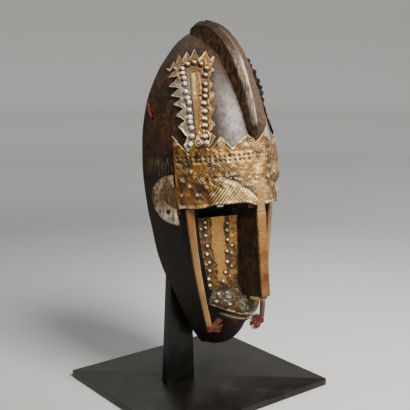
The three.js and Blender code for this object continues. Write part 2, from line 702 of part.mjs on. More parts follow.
const stand = new THREE.Group();
addPiece(stand, "stand_base", makeBase(), materials.steel);
addPiece(stand, "stand_post", makePost(), materials.steel);
addPiece(stand, "stand_arm_upper", makeArm(UPPER_ARM), materials.steel);
addPiece(stand, "stand_arm_lower", makeArm(LOWER_ARM), materials.steel);

const group = new THREE.Group();
group.add(mask, stand);

export default group;
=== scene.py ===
# %% [markdown]
# # A carved mask on a steel stand
# The object is a tall wooden face mask, hollow behind, with a keel over the head. Thin sheet
# brass is nailed over the brow, the forehead, the cheeks and the nose, two slats hang in
# front of the cheeks, and a steel plate and post hold the mask upright.
# Every visible piece is worked out with numpy as a grid of points, because carved wood and
# embossed sheet are both smooth surfaces with a height pattern on them. The same profiles as
# in the CAD source are used, so each piece lies where its CAD node does.

# %% Load the frame
import json
import math

import bpy
import numpy as np
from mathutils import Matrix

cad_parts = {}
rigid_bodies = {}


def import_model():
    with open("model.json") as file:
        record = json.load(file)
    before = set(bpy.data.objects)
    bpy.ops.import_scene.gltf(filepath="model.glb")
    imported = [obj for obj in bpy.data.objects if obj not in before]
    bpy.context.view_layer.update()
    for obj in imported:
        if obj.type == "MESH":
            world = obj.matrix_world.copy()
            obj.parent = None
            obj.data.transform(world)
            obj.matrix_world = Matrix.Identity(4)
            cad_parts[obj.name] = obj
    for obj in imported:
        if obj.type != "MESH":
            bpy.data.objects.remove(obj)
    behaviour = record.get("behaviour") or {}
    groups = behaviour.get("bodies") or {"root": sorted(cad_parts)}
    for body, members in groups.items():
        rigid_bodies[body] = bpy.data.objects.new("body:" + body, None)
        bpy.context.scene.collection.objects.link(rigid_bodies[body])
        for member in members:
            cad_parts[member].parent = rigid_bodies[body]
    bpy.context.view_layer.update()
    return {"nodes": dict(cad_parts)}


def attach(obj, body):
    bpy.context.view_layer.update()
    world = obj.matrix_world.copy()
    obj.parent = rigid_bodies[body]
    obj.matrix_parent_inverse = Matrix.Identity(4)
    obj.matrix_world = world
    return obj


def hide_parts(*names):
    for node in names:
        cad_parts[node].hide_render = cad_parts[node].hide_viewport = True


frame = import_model()
print("CAD nodes:", len(frame["nodes"]))

# %% [markdown]
# ## Curves, noise and the mask's own frame
# The mask is described by u across, w forward from its rim and v up from its chin, all in
# millimetres. It leans back six degrees on its stand. Profiles are smooth curves through a few
# measured points, and small unevenness comes from a seeded noise, so it is the same each run.

# %% Curves and noise
MM = 0.001
LEAN = math.radians(6)
PIVOT_V = 190
PIVOT_Z = 249.4


def through(points):
    """Smooth curve through (x, y) points that never overshoots them."""
    x, y = np.array(points, float).T
    slope = np.diff(y) / np.diff(x)
    product = slope[:-1] * slope[1:]
    total = np.where(product > 0, slope[:-1] + slope[1:], 1)
    inner = np.where(product > 0, 2 * product / total, 0)
    tangent = np.concatenate([slope[:1], inner, slope[-1:]])

    def curve(at):
        at = np.clip(at, x[0], x[-1])
        i = np.clip(np.searchsorted(x, at, side="right") - 1, 0, len(x) - 2)
        span = x[i + 1] - x[i]
        t = (at - x[i]) / span
        rise = y[i + 1] - y[i]
        lift = 3 * rise - span * (2 * tangent[i] + tangent[i + 1])
        twist = span * (tangent[i] + tangent[i + 1]) - 2 * rise
        return y[i] + t * span * tangent[i] + t * t * (lift + t * twist)

    return curve


def mix(a, b, t):
    """Straight blend from a to b."""
    return a + (b - a) * t


def smooth(low, high, x):
    """0 below low, 1 above high, and an S curve between."""
    t = np.clip((x - low) / (high - low), 0, 1)
    return t * t * (3 - 2 * t)


def fall(low, high, x):
    """1 below low, 0 above high: smooth turned over."""
    return 1 - smooth(low, high, x)


def hump(x, width):
    """Bell curve: e to the power of -(x / width) squared, so it is 1 at 0."""
    return np.exp(-((x / width) ** 2))


def follow(points, x):
    """Straight lines from one (x, y) point to the next."""
    return np.interp(x, *np.array(points, float).T)


def smooth_through(points, count):
    """Smooth path of count places through a few corners with any number of coordinates."""
    corners = np.array(points, float)
    knot = np.arange(len(corners))
    at = np.linspace(0, len(corners) - 1, count)
    return np.stack([through(np.stack([knot, column], -1))(at) for column in corners.T], -1)


def rumple(points, size, seed):
    """Smooth noise from -1 to 1: random values at the corners of cubes, blended between."""
    cell = np.asarray(points, float) / size
    low = np.floor(cell).astype(int)
    part = cell - low
    part = part * part * (3 - 2 * part)
    table = np.random.default_rng(seed).uniform(-1, 1, (64, 64, 64))
    total = 0
    for corner in np.ndindex(2, 2, 2):
        i = (low + corner) % 64
        weight = np.prod(np.where(corner, part, 1 - part), axis=-1)
        total = total + weight * table[i[..., 0], i[..., 1], i[..., 2]]
    return total


def place(points):
    """Points (u, w, v) of the mask in mm as points of the frame in metres."""
    u, w, v = np.moveaxis(np.asarray(points, float), -1, 0)
    rise = v - PIVOT_V
    y = rise * math.sin(LEAN) - w * math.cos(LEAN)
    z = PIVOT_Z + w * math.sin(LEAN) + rise * math.cos(LEAN)
    return np.stack([u, y, z], -1) * MM


def unplace(points):
    """The inverse of place."""
    x, y, z = np.moveaxis(np.asarray(points, float), -1, 0) / MM
    z = z - PIVOT_Z
    w = z * math.sin(LEAN) - y * math.cos(LEAN)
    v = PIVOT_V + y * math.sin(LEAN) + z * math.cos(LEAN)
    return np.stack([x, w, v], -1)


# %% [markdown]
# ## From grids to meshes
# A sheet is two grids, one in front of the other, closed round their edge. A solid is a stack
# of closed loops with a cap at both ends. Both are turned so that their faces point outwards,
# and smooth shading stops at sharp edges.

# %% Closed meshes
SHARP = math.radians(35)


def grid_faces(rows, columns, start=0, wrap=False):
    """Four-cornered faces between the neighbours of a grid stored row by row."""
    last = columns if wrap else columns - 1
    r, c = np.meshgrid(np.arange(rows - 1), np.arange(last), indexing="ij")
    after = (c + 1) % columns
    corners = [r * columns + c, r * columns + after, (r + 1) * columns + after, (r + 1) * columns + c]
    return start + np.stack(corners, -1).reshape(-1, 4)


def signed_volume(points, faces):
    """Six times the volume, which is negative where the faces point inwards."""
    points = points - points.mean(0)
    total = 0.0
    for block in faces:
        for k in range(1, block.shape[1] - 1):
            a, b, c = points[block[:, 0]], points[block[:, k]], points[block[:, k + 1]]
            total += np.einsum("ij,ij->", a, np.cross(b, c))
    return total


def build(name, *parts):
    """Mesh object of closed parts, each of which is points in metres and arrays of faces."""
    corners, sizes, start = [], [], 0
    for points, faces in parts:
        turned = signed_volume(points, faces) < 0
        for block in faces:
            block = block[:, ::-1] if turned else block
            corners.append((block + start).ravel())
            sizes.append(np.full(len(block), block.shape[1]))
        start += len(points)
    corners, sizes = np.concatenate(corners), np.concatenate(sizes)
    points = np.concatenate([part[0] for part in parts])
    mesh = bpy.data.meshes.new(name)
    mesh.vertices.add(len(points))
    mesh.vertices.foreach_set("co", points.astype(np.float32).ravel())
    mesh.loops.add(len(corners))
    mesh.loops.foreach_set("vertex_index", corners.astype(np.int32))
    mesh.polygons.add(len(sizes))
    mesh.polygons.foreach_set("loop_start", (np.cumsum(sizes) - sizes).astype(np.int32))
    mesh.update(calc_edges=True)
    mesh.shade_smooth()
    mesh.set_sharp_from_angle(angle=SHARP)
    piece = bpy.data.objects.new(name, mesh)
    bpy.context.scene.collection.objects.link(piece)
    return piece


# %% Sheets and solids from grids
def sheet(outer, inner):
    """Points and faces of a closed sheet between two grids of the same size."""
    rows, columns = outer.shape[:2]
    size = rows * columns
    index = np.arange(size).reshape(rows, columns)
    rim = np.concatenate([index[0, :-1], index[:-1, -1], index[-1, :0:-1], index[:0:-1, 0]])
    after = np.roll(rim, -1)
    edge = np.stack([rim, rim + size, after + size, after], -1)
    back = grid_faces(rows, columns, size)[:, ::-1]
    points = np.concatenate([outer.reshape(-1, 3), inner.reshape(-1, 3)])
    return place(points), [np.concatenate([grid_faces(rows, columns), back, edge])]


def loft(loops, foot=None, crown=None):
    """Points and faces of a solid through closed loops, with a point in the middle of each end."""
    rows, columns = loops.shape[:2]
    foot = loops[0].mean(0) if foot is None else np.array(foot, float)
    crown = loops[-1].mean(0) if crown is None else np.array(crown, float)
    points = np.concatenate([loops.reshape(-1, 3), [foot], [crown]])
    ring = np.arange(columns)
    after = (ring + 1) % columns
    top = (rows - 1) * columns
    first = np.stack([np.full(columns, rows * columns), after, ring], -1)
    last = np.stack([np.full(columns, rows * columns + 1), top + ring, top + after], -1)
    return place(points), [grid_faces(rows, columns, wrap=True), np.concatenate([first, last])]


# %% Moving and measuring grids
def outward(grid):
    """Unit normals of a grid whose columns run to the right and whose rows run up."""
    normal = np.cross(np.gradient(grid, axis=0), np.gradient(grid, axis=1))
    return normal / np.maximum(np.linalg.norm(normal, axis=-1, keepdims=True), 1e-9)


def raised(grid, height):
    """The grid, moved along its normals."""
    return grid + outward(grid) * np.asarray(height)[..., None]


def soften(values, steps):
    """Values of a grid, averaged with their neighbours again and again."""
    for _ in range(steps):
        padded = np.pad(values, 1, mode="edge")
        beside = padded[1:-1, :-2] + padded[1:-1, 2:] + padded[:-2, 1:-1] + padded[2:, 1:-1]
        values = (4 * values + beside) / 8
    return values


def line_distance(grid, path):
    """Distance from each grid point to a path of straight pieces."""
    best = np.full(grid.shape[:-1], np.inf)
    for a, b in zip(path[:-1], path[1:]):
        span = b - a
        t = np.clip(((grid - a) @ span) / max(span @ span, 1e-9), 0, 1)
        best = np.minimum(best, np.linalg.norm(grid - a - t[..., None] * span, axis=-1))
    return best


def point_distance(grid, centres):
    """Distance from each grid point to the nearest of some points."""
    best = np.full(grid.shape[:-1], np.inf)
    for centre in centres:
        best = np.minimum(best, np.linalg.norm(grid - centre, axis=-1))
    return best


# %% Painted layers and cuts
def paint(piece, **layers):
    """Stores one number from 0 to 1 for each vertex under each name."""
    for name, values in layers.items():
        layer = piece.data.attributes.new(name, "FLOAT", "POINT")
        layer.data.foreach_set("value", np.clip(values, 0, 1).astype(np.float32).ravel())


def both(values):
    """Values of a sheet's front, given to its back as well."""
    return np.concatenate([values.ravel(), values.ravel()])


def vertex_places(piece):
    """Vertices of a piece as u, w, v."""
    flat = np.empty(3 * len(piece.data.vertices), np.float32)
    piece.data.vertices.foreach_get("co", flat)
    return unplace(flat.reshape(-1, 3))


def cut(piece, others):
    """Joins or cuts piece with [(operation, other)] and keeps the result as its mesh."""
    for operation, other in others:
        step = piece.modifiers.new(operation, "BOOLEAN")
        step.operation = operation
        step.solver = "MANIFOLD"
        step.object = other
    graph = bpy.context.evaluated_depsgraph_get()
    mesh = bpy.data.meshes.new_from_object(piece.evaluated_get(graph))
    piece.modifiers.clear()
    piece.data = mesh
    for _, other in others:
        bpy.data.objects.remove(other)
    mesh.shade_smooth()
    mesh.set_sharp_from_angle(angle=SHARP)


# %% [markdown]
# ## Materials from expressions
# A small class wraps a socket, so that shader maths reads as ordinary Python. Patterns use
# Object coordinates, and the painted layers that follow each surface.

# %% Colours and sockets
def srgb(levels):
    """Linear colour from red, green and blue levels of 0 to 255, as they are seen."""
    level = np.array(levels) / 255
    return tuple(np.where(level > 0.04045, ((level + 0.055) / 1.055) ** 2.4, level / 12.92).tolist())


class Socket:
    """A node's output that can be used in expressions."""

    def __init__(self, finish, link):
        self.finish = finish
        self.link = link

    def join(self, operation, first, second):
        """A Math node on two values."""
        return self.finish.node("ShaderNodeMath", {"operation": operation}, {0: first, 1: second})

    def __add__(self, other):
        return self.join("ADD", self, other)

    def __radd__(self, other):
        return self.join("ADD", other, self)

    def __sub__(self, other):
        return self.join("SUBTRACT", self, other)

    def __rsub__(self, other):
        return self.join("SUBTRACT", other, self)

    def __mul__(self, other):
        return self.join("MULTIPLY", self, other)

    def __rmul__(self, other):
        return self.join("MULTIPLY", other, self)

    def clamp(self, low=0, high=1):
        """This value, kept from low to high."""
        return self.join("MINIMUM", self.join("MAXIMUM", self, low), high)

    def step(self, low, high):
        """0 below low, 1 above high."""
        return ((self - low) * (1 / (high - low))).clamp()


# %% Finishes
class Finish:
    """A material with one Principled shader."""

    def __init__(self, name):
        self.material = bpy.data.materials.new(name)
        self.material.use_nodes = True
        self.tree = self.material.node_tree
        self.shader = self.tree.nodes["Principled BSDF"]
        self.at = self.node("ShaderNodeTexCoord", {}, {}, "Object")

    def node(self, kind, settings, values, output=0):
        """Adds a node, makes its settings, fills its sockets, and returns one output."""
        node = self.tree.nodes.new(kind)
        for key, value in settings.items():
            setattr(node, key, value)
        for key, value in values.items():
            self.fill(node.inputs[key], value)
        return Socket(self, node.outputs[output])

    def fill(self, socket, value):
        """Links a node's output to a socket, or sets the socket to a plain value."""
        if isinstance(value, Socket):
            self.tree.links.new(value.link, socket)
        else:
            socket.default_value = value

    def layer(self, name):
        """A painted layer of the piece."""
        return self.node("ShaderNodeAttribute", {"attribute_name": name}, {}, "Fac")

    def noise(self, scale, detail, stretch=(1, 1, 1), roughness=0.55):
        """Noise from 0 to 1 with features of about 1 / scale metres."""
        at = self.node("ShaderNodeMapping", {}, {"Vector": self.at, "Scale": stretch})
        values = {"Vector": at, "Scale": scale, "Detail": detail, "Roughness": roughness}
        return self.node("ShaderNodeTexNoise", {}, values)

    def blend(self, factor, first, second):
        """Colour between two colours, each of them a socket or levels of 0 to 255."""
        settings = {"data_type": "RGBA", "clamp_factor": True}
        ends = [end if isinstance(end, Socket) else (*srgb(end), 1) for end in (first, second)]
        return self.node("ShaderNodeMix", settings, {0: factor, 6: ends[0], 7: ends[1]}, 2)

    def bump(self, height, distance):
        """Shader normal from a height pattern, whose full step is distance in metres."""
        return self.node("ShaderNodeBump", {}, {"Height": height, "Distance": distance, "Strength": 1})

    def shade(self, **sockets):
        """Fills the shader's sockets, whose names have _ for a space."""
        for key, value in sockets.items():
            self.fill(self.shader.inputs[key.replace("_", " ")], value)
        return self.material


def finish_piece(piece, material, nodes):
    """Gives piece its material, joins it to the root body and hides the CAD nodes that it stands for."""
    piece.data.materials.clear()
    piece.data.materials.append(material)
    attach(piece, "root")
    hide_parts(*nodes)
    triangles = sum(len(face.vertices) - 2 for face in piece.data.polygons)
    print(piece.name, triangles, "triangles")


# %% [markdown]
# ## Camera, light and floor
# The camera stands where the photographer's did, a metre off and a little above the mask's
# middle, to the left of its face. The light is a soft box high in front, a wider one to the
# right, weak ones to the left and behind, and a pale room. The floor could be a plain plane,
# but a disc with painted light and shade, whose tone changes with the distance and is greyer
# to the left, gives the soft bands of the backdrop.

# %% Camera
CAMERA_AT = (-0.5761, -0.7626, 0.4216)
CAMERA_AZIMUTH = -37.6165
CAMERA_PITCH = -11.5148
CAMERA_LENS = 70.67
CAMERA_SENSOR = 36

camera = bpy.data.objects.new("camera", bpy.data.cameras.new("camera"))
camera.data.lens = CAMERA_LENS
camera.data.sensor_width = CAMERA_SENSOR
camera.location = CAMERA_AT
camera.rotation_euler = (math.radians(90 + CAMERA_PITCH), 0, math.radians(CAMERA_AZIMUTH))
bpy.context.scene.collection.objects.link(camera)
bpy.context.scene.camera = camera


# %% Lights
LIT_POINT = np.array([0, 0, 0.25])


def add_softbox(name, azimuth, elevation, distance, size, power, colour):
    """Square area light that looks at the middle of the mask. Angles are in degrees."""
    lamp = bpy.data.lights.new(name, "AREA")
    lamp.shape = "SQUARE"
    lamp.size = size
    lamp.energy = power
    lamp.color = colour
    turn, lift = math.radians(azimuth), math.radians(elevation)
    away = np.array([math.sin(turn) * math.cos(lift), -math.cos(turn) * math.cos(lift), math.sin(lift)])
    box = bpy.data.objects.new(name, lamp)
    box.location = away * distance + LIT_POINT
    box.rotation_euler = (math.pi / 2 - lift, 0, turn)
    bpy.context.scene.collection.objects.link(box)


add_softbox("high_front", 4, 47, 1.7, 0.62, 60, (1, 0.97, 0.93))
add_softbox("right", 66, 26, 1.9, 1.0, 16, (1, 0.98, 0.95))
add_softbox("left_fill", -100, 45, 2.1, 1.2, 1.5, (0.95, 0.97, 1))
add_softbox("behind", 165, 50, 2.2, 1.4, 9, (1, 1, 1))

world = bpy.data.worlds.new("room")
world.use_nodes = True
world.node_tree.nodes["Background"].inputs["Color"].default_value = (0.9, 0.92, 0.93, 1)
world.node_tree.nodes["Background"].inputs["Strength"].default_value = 0.1
bpy.context.scene.world = world

# %% Floor
STAGE_PROFILE = through([(0, 0), (2.0, 0), (2.6, 0.12), (3.0, 0.5), (3.2, 1.2), (3.3, 2.4)])


def stage_points():
    """A round floor that curves up into a wall: a profile turned about the Z axis."""
    radius = np.concatenate([[0.02], np.linspace(0.06, 2, 50), np.linspace(2.05, 3.3, 40)])
    turn = np.linspace(0, 2 * np.pi, 96, endpoint=False)
    x = radius[:, None] * np.cos(turn)
    y = radius[:, None] * np.sin(turn)
    z = np.broadcast_to(STAGE_PROFILE(radius)[:, None], x.shape)
    return np.stack([x, y, z], -1)


# painted light and shade of the floor: how light the paper is painted at each distance, and how much
# greyer on the left
FLOOR_PAINTED_LIGHT = [
    (0, 0.62), (0.2, 0.585), (0.35, 0.565), (0.5, 0.53), (0.7, 0.455), (0.95, 0.395), (1.3, 0.455),
    (1.8, 0.58), (2.35, 0.695), (2.7, 0.74), (3.1, 0.69), (3.3, 0.66),
]
FLOOR_LEFT_SHADE = 0.18
LEFT_OF_VIEW = np.array([-0.79, 0.61])


def painted_floor_light(grid):
    """Painted shade on the paper: greyest about a metre away, and greyer to the left of the camera's
    view.
    """
    radius = np.hypot(grid[..., 0], grid[..., 1])
    share = smooth(-0.05, 0.22, grid[..., :2] @ LEFT_OF_VIEW) * fall(0.9, 1.4, radius)
    return follow(FLOOR_PAINTED_LIGHT, radius) * (1 - FLOOR_LEFT_SHADE * share)


def make_stage():
    """The floor's mesh and its matt paper."""
    grid = stage_points()
    rows, columns = grid.shape[:2]
    mesh = bpy.data.meshes.new("floor")
    faces = grid_faces(rows, columns, wrap=True).tolist() + [list(range(columns))]
    mesh.from_pydata(grid.reshape(-1, 3).tolist(), [], faces)
    mesh.shade_smooth()
    floor = bpy.data.objects.new("floor", mesh)
    bpy.context.scene.collection.objects.link(floor)
    paper = Finish("pale paper")
    # the tone layer carries the painted light and shade of the floor and backdrop
    paint(floor, tone=painted_floor_light(grid).ravel())
    colour = paper.blend(paper.layer("tone"), (0, 0, 0), (255, 255, 253.3))
    floor.data.materials.append(paper.shade(Base_Color=colour, Roughness=0.85))


make_stage()

# %% [markdown]
# ## The wooden body
# The real mask is cut from one block: a tall domed forehead over a sharp-cornered face, with
# a fin for a nose, a small jutting mouth and ears like the letter C. The front is one surface
# of two parameters: the height, and how far round from the rim one is. Above the brow it is a
# rounded dome, and below it each row runs from the rim to the temple, over a corner and then
# straight to the middle. The rest is joined to it or cut out of it as solids.

# %% Dome profiles
BROW_V = 172
CROWN_V = 371
HALF_WIDTH = through([
    (-2, 4), (0, 9), (8, 15), (18, 21.5), (50, 36.6), (69, 44.4), (100, 58.3), (123, 65), (152, 69.8),
    (173, 73.3), (215, 76.2), (252, 74), (292, 65), (330, 45), (347, 30.5), (360, 17.5), (371, 1),
])
DOME_DEPTH = through([
    (172, 111), (194, 113), (215, 113.5), (236, 112.5), (252, 109.5), (268, 104), (292, 91.5),
    (313, 77), (330, 63), (345, 46), (358, 28), (366, 14), (371, 1),
])
DOME_LIFT = through([
    (172, 0), (236, 1), (268, 4), (292, 8), (313, 12), (330, 14), (345, 12), (366, 4), (371, 0),
])
DOME_POWER = through([(172, 2.08), (240, 2.05), (268, 1.93), (290, 2.05), (320, 2.3), (371, 2.2)])


def dome(row, turn):
    """Dome point, where (u / half width) ** p + (w / depth) ** p = 1 in plan, p from the row.

    turn is the way round, from -1 at the left rim to 1 at the right.
    """
    angle = turn * np.pi / 2
    power = 2 / DOME_POWER(row)
    across = np.sign(angle) * np.abs(np.sin(angle)) ** power
    forward = np.maximum(np.cos(angle), 0) ** power
    u, w = HALF_WIDTH(row) * across, DOME_DEPTH(row) * forward
    return np.stack([u, w, row + DOME_LIFT(row) * forward], -1)


def dome_place(point):
    """Row and turn of points near the dome, worked back from u, w, v."""
    u, w, v = np.moveaxis(point, -1, 0)
    row = v
    for _ in range(4):
        half = DOME_POWER(row) / 2
        side = (np.abs(u) / HALF_WIDTH(row)) ** half
        front = (np.maximum(w, 0) / DOME_DEPTH(row)) ** half
        forward = (front / np.maximum(np.hypot(side, front), 1e-6)) ** (1 / half)
        row = np.clip(v - DOME_LIFT(row) * forward, BROW_V - 60, CROWN_V - 0.5)
    return row, np.sign(u) * np.arctan2(side, front) * 2 / np.pi


# %% Face profiles
FACE_HEIGHTS = [
    -0.5, 3, 9, 17, 26, 34, 38, 42, 43.5, 45.5, 47, 51, 57, 64, 69, 76, 86, 102, 122, 140, 158, 170.5,
]
TEMPLE_U = [
    5, 9.5, 14, 19, 23.5, 26.5, 28, 29.5, 30, 30.5, 31, 32.5, 34.5, 36.5, 38.5, 41, 45.5, 51.5, 57.5,
    61.5, 65, 66.2,
]
TEMPLE_W = [4, 8, 11, 15, 20, 23, 25, 27, 28, 29, 30, 32, 35, 38, 41, 44, 47, 49, 50, 50, 50, 50]
CORNER_U = [
    4, 8, 12, 17, 21.5, 25, 27, 28, 29, 29.5, 30, 31.5, 33, 34, 35, 36.5, 39.5, 43.5, 47.5, 49.5, 51, 52,
]
CORNER_W = [7, 13, 18, 24, 30, 34, 36, 38, 39, 40, 41, 43, 46, 50, 53, 56, 59, 61, 62, 62, 62, 62]
FRONT_W = [
    15, 31, 44, 54.5, 63, 70, 77, 81.5, 77, 76, 84.5, 89.5, 92, 90.5, 88, 84, 82, 83, 84, 85.5, 87, 88,
]
ROUNDNESS = [
    2, 2, 2, 2, 1.9, 1.8, 1.7, 1.6, 1.6, 1.6, 1.5, 1.5, 1.5, 1.5, 1.35, 1.15, 1, 1, 1, 1, 1, 1,
]
face_profile = {
    name: through(list(zip(FACE_HEIGHTS, values)))
    for name, values in {
        "temple_u": TEMPLE_U, "temple_w": TEMPLE_W, "corner_u": CORNER_U,
        "corner_w": CORNER_W, "front": FRONT_W, "round": ROUNDNESS,
    }.items()
}
SIDE_SHARE = 3 / 12
LINK_SHARE = 4 / 12
SIDE_BULGE = 1.5
MOUTH_V = 44.5
MOUTH_RISE = 11
MOUTH_REACH = 20


def face(v, turn):
    """Face point at height v. From the rim to the middle it passes the temple and the corner."""
    p = {name: curve(v) for name, curve in face_profile.items()}
    inward = 1 - np.abs(turn)
    side = np.clip(inward / SIDE_SHARE, 0, 1)
    link = np.clip((inward - SIDE_SHARE) / (LINK_SHARE - SIDE_SHARE), 0, 1)
    across = 1 - np.clip((inward - LINK_SHARE) / (1 - LINK_SHARE), 0, 1)
    forward = (1 - across ** p["round"]) ** (1 / p["round"])
    u = mix(HALF_WIDTH(v), p["temple_u"], side) + SIDE_BULGE * np.sin(np.pi * side)
    w = p["temple_w"] * side
    u = np.where(inward > SIDE_SHARE, mix(p["temple_u"], p["corner_u"], link), u)
    w = np.where(inward > SIDE_SHARE, mix(p["temple_w"], p["corner_w"], link), w)
    u = np.where(inward > LINK_SHARE, p["corner_u"] * across, u)
    w = np.where(inward > LINK_SHARE, mix(p["corner_w"], p["front"], forward), w)
    near_mouth = np.maximum(0, 1 - np.abs(v - MOUTH_V) / MOUTH_REACH)
    rise = MOUTH_RISE * near_mouth * link * across ** 2
    return np.stack([np.sign(turn) * u, w, v + rise], -1)


# %% The carved front
# heights of the grid's rows, closer together at the mouth and at the crown
FACE_ROWS = np.concatenate([
    np.linspace(-0.5, 36, 26), np.linspace(37, 50, 30), np.linspace(51, 80, 24),
    np.linspace(81.5, 170.5, 56),
])
DOME_ROWS = np.concatenate([np.linspace(BROW_V, 330, 104), np.linspace(331.3, 370, 34)])
STEPS_ACROSS = 232
# the sunk, scratched patch of each side wall, and how far up its scratches run on
RECESS = {"low": 211, "high": 232, "front": 52, "depth": 1.6, "scratched_to": 256}


def carved_front():
    """Rows of the front from chin to crown, pushed in and out by the carver's marks."""
    turn = np.linspace(-1, 1, STEPS_ACROSS + 1)
    grid = np.concatenate([face(FACE_ROWS[:, None], turn), dome(DOME_ROWS[:, None], turn)])
    u, w, v = np.moveaxis(grid, -1, 0)
    low, high, front = RECESS["low"], RECESS["high"], RECESS["front"]
    stripes = rumple(np.stack([w, v * 0.12, u * 0.1], -1), 1.9, 3)
    lowered = smooth(low - 3, low, v) * fall(high, high + 1.2, v) * fall(front - 2, front, w)
    above = smooth(high, high + 2, v) * fall(RECESS["scratched_to"] - 10, RECESS["scratched_to"], v)
    height = 0.5 * rumple(grid, 17, 1) + 0.22 * rumple(grid, 6, 2)
    height = height - lowered * (RECESS["depth"] + 0.5 * stripes)
    height = height + 0.4 * above * fall(front - 8, front - 2, w) * stripes
    return raised(grid, height * smooth(0, 10, w))


body = build("carved_body", loft(carved_front(), (0, 0, -2), (0, 0, CROWN_V)))
print("front:", len(body.data.vertices), "points")

# %% [markdown]
# The keel is a plank on edge that follows the dome from the back of the crown down to the
# brow. Its section has steep flanks and a top with two flat facets, which meet in a sharp
# ridge a little left of the middle. A box with a bend modifier would lose that ridge, so one
# section is carried along two curves, its foot and its top. The nose is a thin upright fin.

# %% Keel and nose
# ridge and foot as (w, v) from the crown to the brow, and half the keel's width at each point
CREST_RIDGE = [
    (12, 371), (15, 377), (25, 382), (38, 383), (53, 379), (67, 371), (80.5, 359), (91.5, 346),
    (101.5, 329.5), (109.5, 311.5), (116, 294.5), (120.5, 278.5), (123, 265), (122, 257), (112.5, 243.5),
]
CREST_HALF = [5, 6.5, 8, 8, 8, 8, 8, 8, 8, 8, 8, 8, 8, 6, 1]
CREST_FOOT = [
    (6, 362), (10, 362), (19, 360), (29, 357), (40, 351), (51, 342), (62, 331), (72, 317),
    (81, 301), (89, 285), (95, 270), (99, 257), (102, 248), (104, 243), (105, 240),
]
CREST_SECTION = [
    (-1.15, 0), (-1.04, 0.4), (-1, 0.8), (-0.66, 1), (0.98, 0.92), (1.02, 0.5), (1.15, 0),
]
CREST_SHARES = [0, 0.2, 0.36, 0.46, 0.68, 0.8, 1]
# place of the ridge between the facets, as (height, mm from the middle), and in the section
CREST_ARRIS = [(258, -7.6), (270, -7.3), (281, -6.8), (302, -5.7), (322, -3.8), (335, -2.8)]
SECTION_ARRIS = -0.66
# the groove that parts two lobes at the back end of the keel
CREST_NOTCH = {"w": 36.5, "half": 1.8, "depth": 3}
NOSE = {"front": 114.3, "root": 70, "top": 174, "bottom": 71, "front_half": 5, "root_half": 8}
NOSE_SHARES = [0, 0.42, 0.45, 0.55, 0.58, 1]


def arris_at(v):
    """Distance of the ridge from the middle plane at height v."""
    return follow(CREST_ARRIS, v)


def crest_rows():
    """Sections of the keel from brow to crown: from its foot on the dome up to its ridge."""
    count = 150
    ridge, foot = (smooth_through(path, count)[::-1, :, None] for path in (CREST_RIDGE, CREST_FOOT))
    half = smooth_through([(value,) for value in CREST_HALF], count)[::-1]
    share = np.linspace(0, 1, 51)
    across, rise = (np.interp(share, CREST_SHARES, column) for column in zip(*CREST_SECTION))
    w, v = mix(foot[:, 0], ridge[:, 0], rise), mix(foot[:, 1], ridge[:, 1], rise)
    moved = arris_at(ridge[:, 1]) / max(CREST_HALF) - SECTION_ARRIS
    across = across + moved * np.interp(share, CREST_SHARES[2:5], [0, 1, 0])
    grid = np.stack([half * across, w, v], -1)
    notch = hump(w - CREST_NOTCH["w"], CREST_NOTCH["half"]) * rise * hump(across + 0.9, 0.7)
    height = 0.35 * rumple(grid, 9, 4) + 0.12 * rumple(grid, 3.5, 5) - CREST_NOTCH["depth"] * notch
    return raised(grid, height * smooth(0, 0.1, 1 - np.abs(2 * share - 1)))


def nose_rows():
    """Sections of the nose fin: along its left side, round its front and back along its right."""
    v = np.linspace(NOSE["bottom"], NOSE["top"], 90)[:, None]
    share = np.linspace(0, 1, 61)
    half = np.interp(share, NOSE_SHARES, [-1, -1, -0.86, 0.86, 1, 1])
    forward = np.interp(share, NOSE_SHARES, [0, 0.98, 1, 1, 0.98, 0])
    u = half * mix(NOSE["root_half"], NOSE["front_half"], forward)
    w = mix(NOSE["root"], NOSE["front"], forward)
    grid = np.stack(np.broadcast_arrays(u, w, v), -1)
    grain = rumple(np.stack([grid[..., 0], grid[..., 1] * 0.6, grid[..., 2] * 0.07], -1), 2.1, 6)
    height = (0.3 * grain + 0.25 * rumple(grid, 11, 7)) * fall(0.9, 1, forward)
    return raised(grid, height - 0.15)


# %% [markdown]
# The ears are the letter C, raised from the side wall with the open side to the face. Each
# is a section carried round half an ellipse, whose outer rim is high and whose middle is
# worn down to a slope. Half a torus would be as round everywhere, and a carved ear is not.

# %% Ears
EAR = {"w": 50, "v": 184, "deep": 32, "tall": 28.5}
# the section from the outer rim to the inner edge, as (share of the ellipse, height in mm)
EAR_SECTION = [
    (1.02, -5), (1, 2), (0.975, 5), (0.93, 5.8), (0.8, 4.6), (0.64, 3.4), (0.55, 2), (0.5, -5),
]
# how broad the section is from the bottom, at -1, to the top, at 1: most in the lobe
EAR_WIDTH = [(-1, 1.45), (-0.6, 1.35), (0, 0.95), (1, 1.05)]
EAR_HOLE = {"w": 40, "v": 171.2, "radius": 1.9}


def side_wall(w, v):
    """Half width of the body at depth w and height v, where w is less than at the temple."""
    power = DOME_POWER(v)
    upper = HALF_WIDTH(v) * (1 - (w / DOME_DEPTH(v)) ** power) ** (1 / power)
    share = np.clip(w / face_profile["temple_w"](v), 0, 1)
    lower = mix(HALF_WIDTH(v), face_profile["temple_u"](v), share) + SIDE_BULGE * np.sin(np.pi * share)
    return np.where(v > BROW_V - 1, upper, lower)


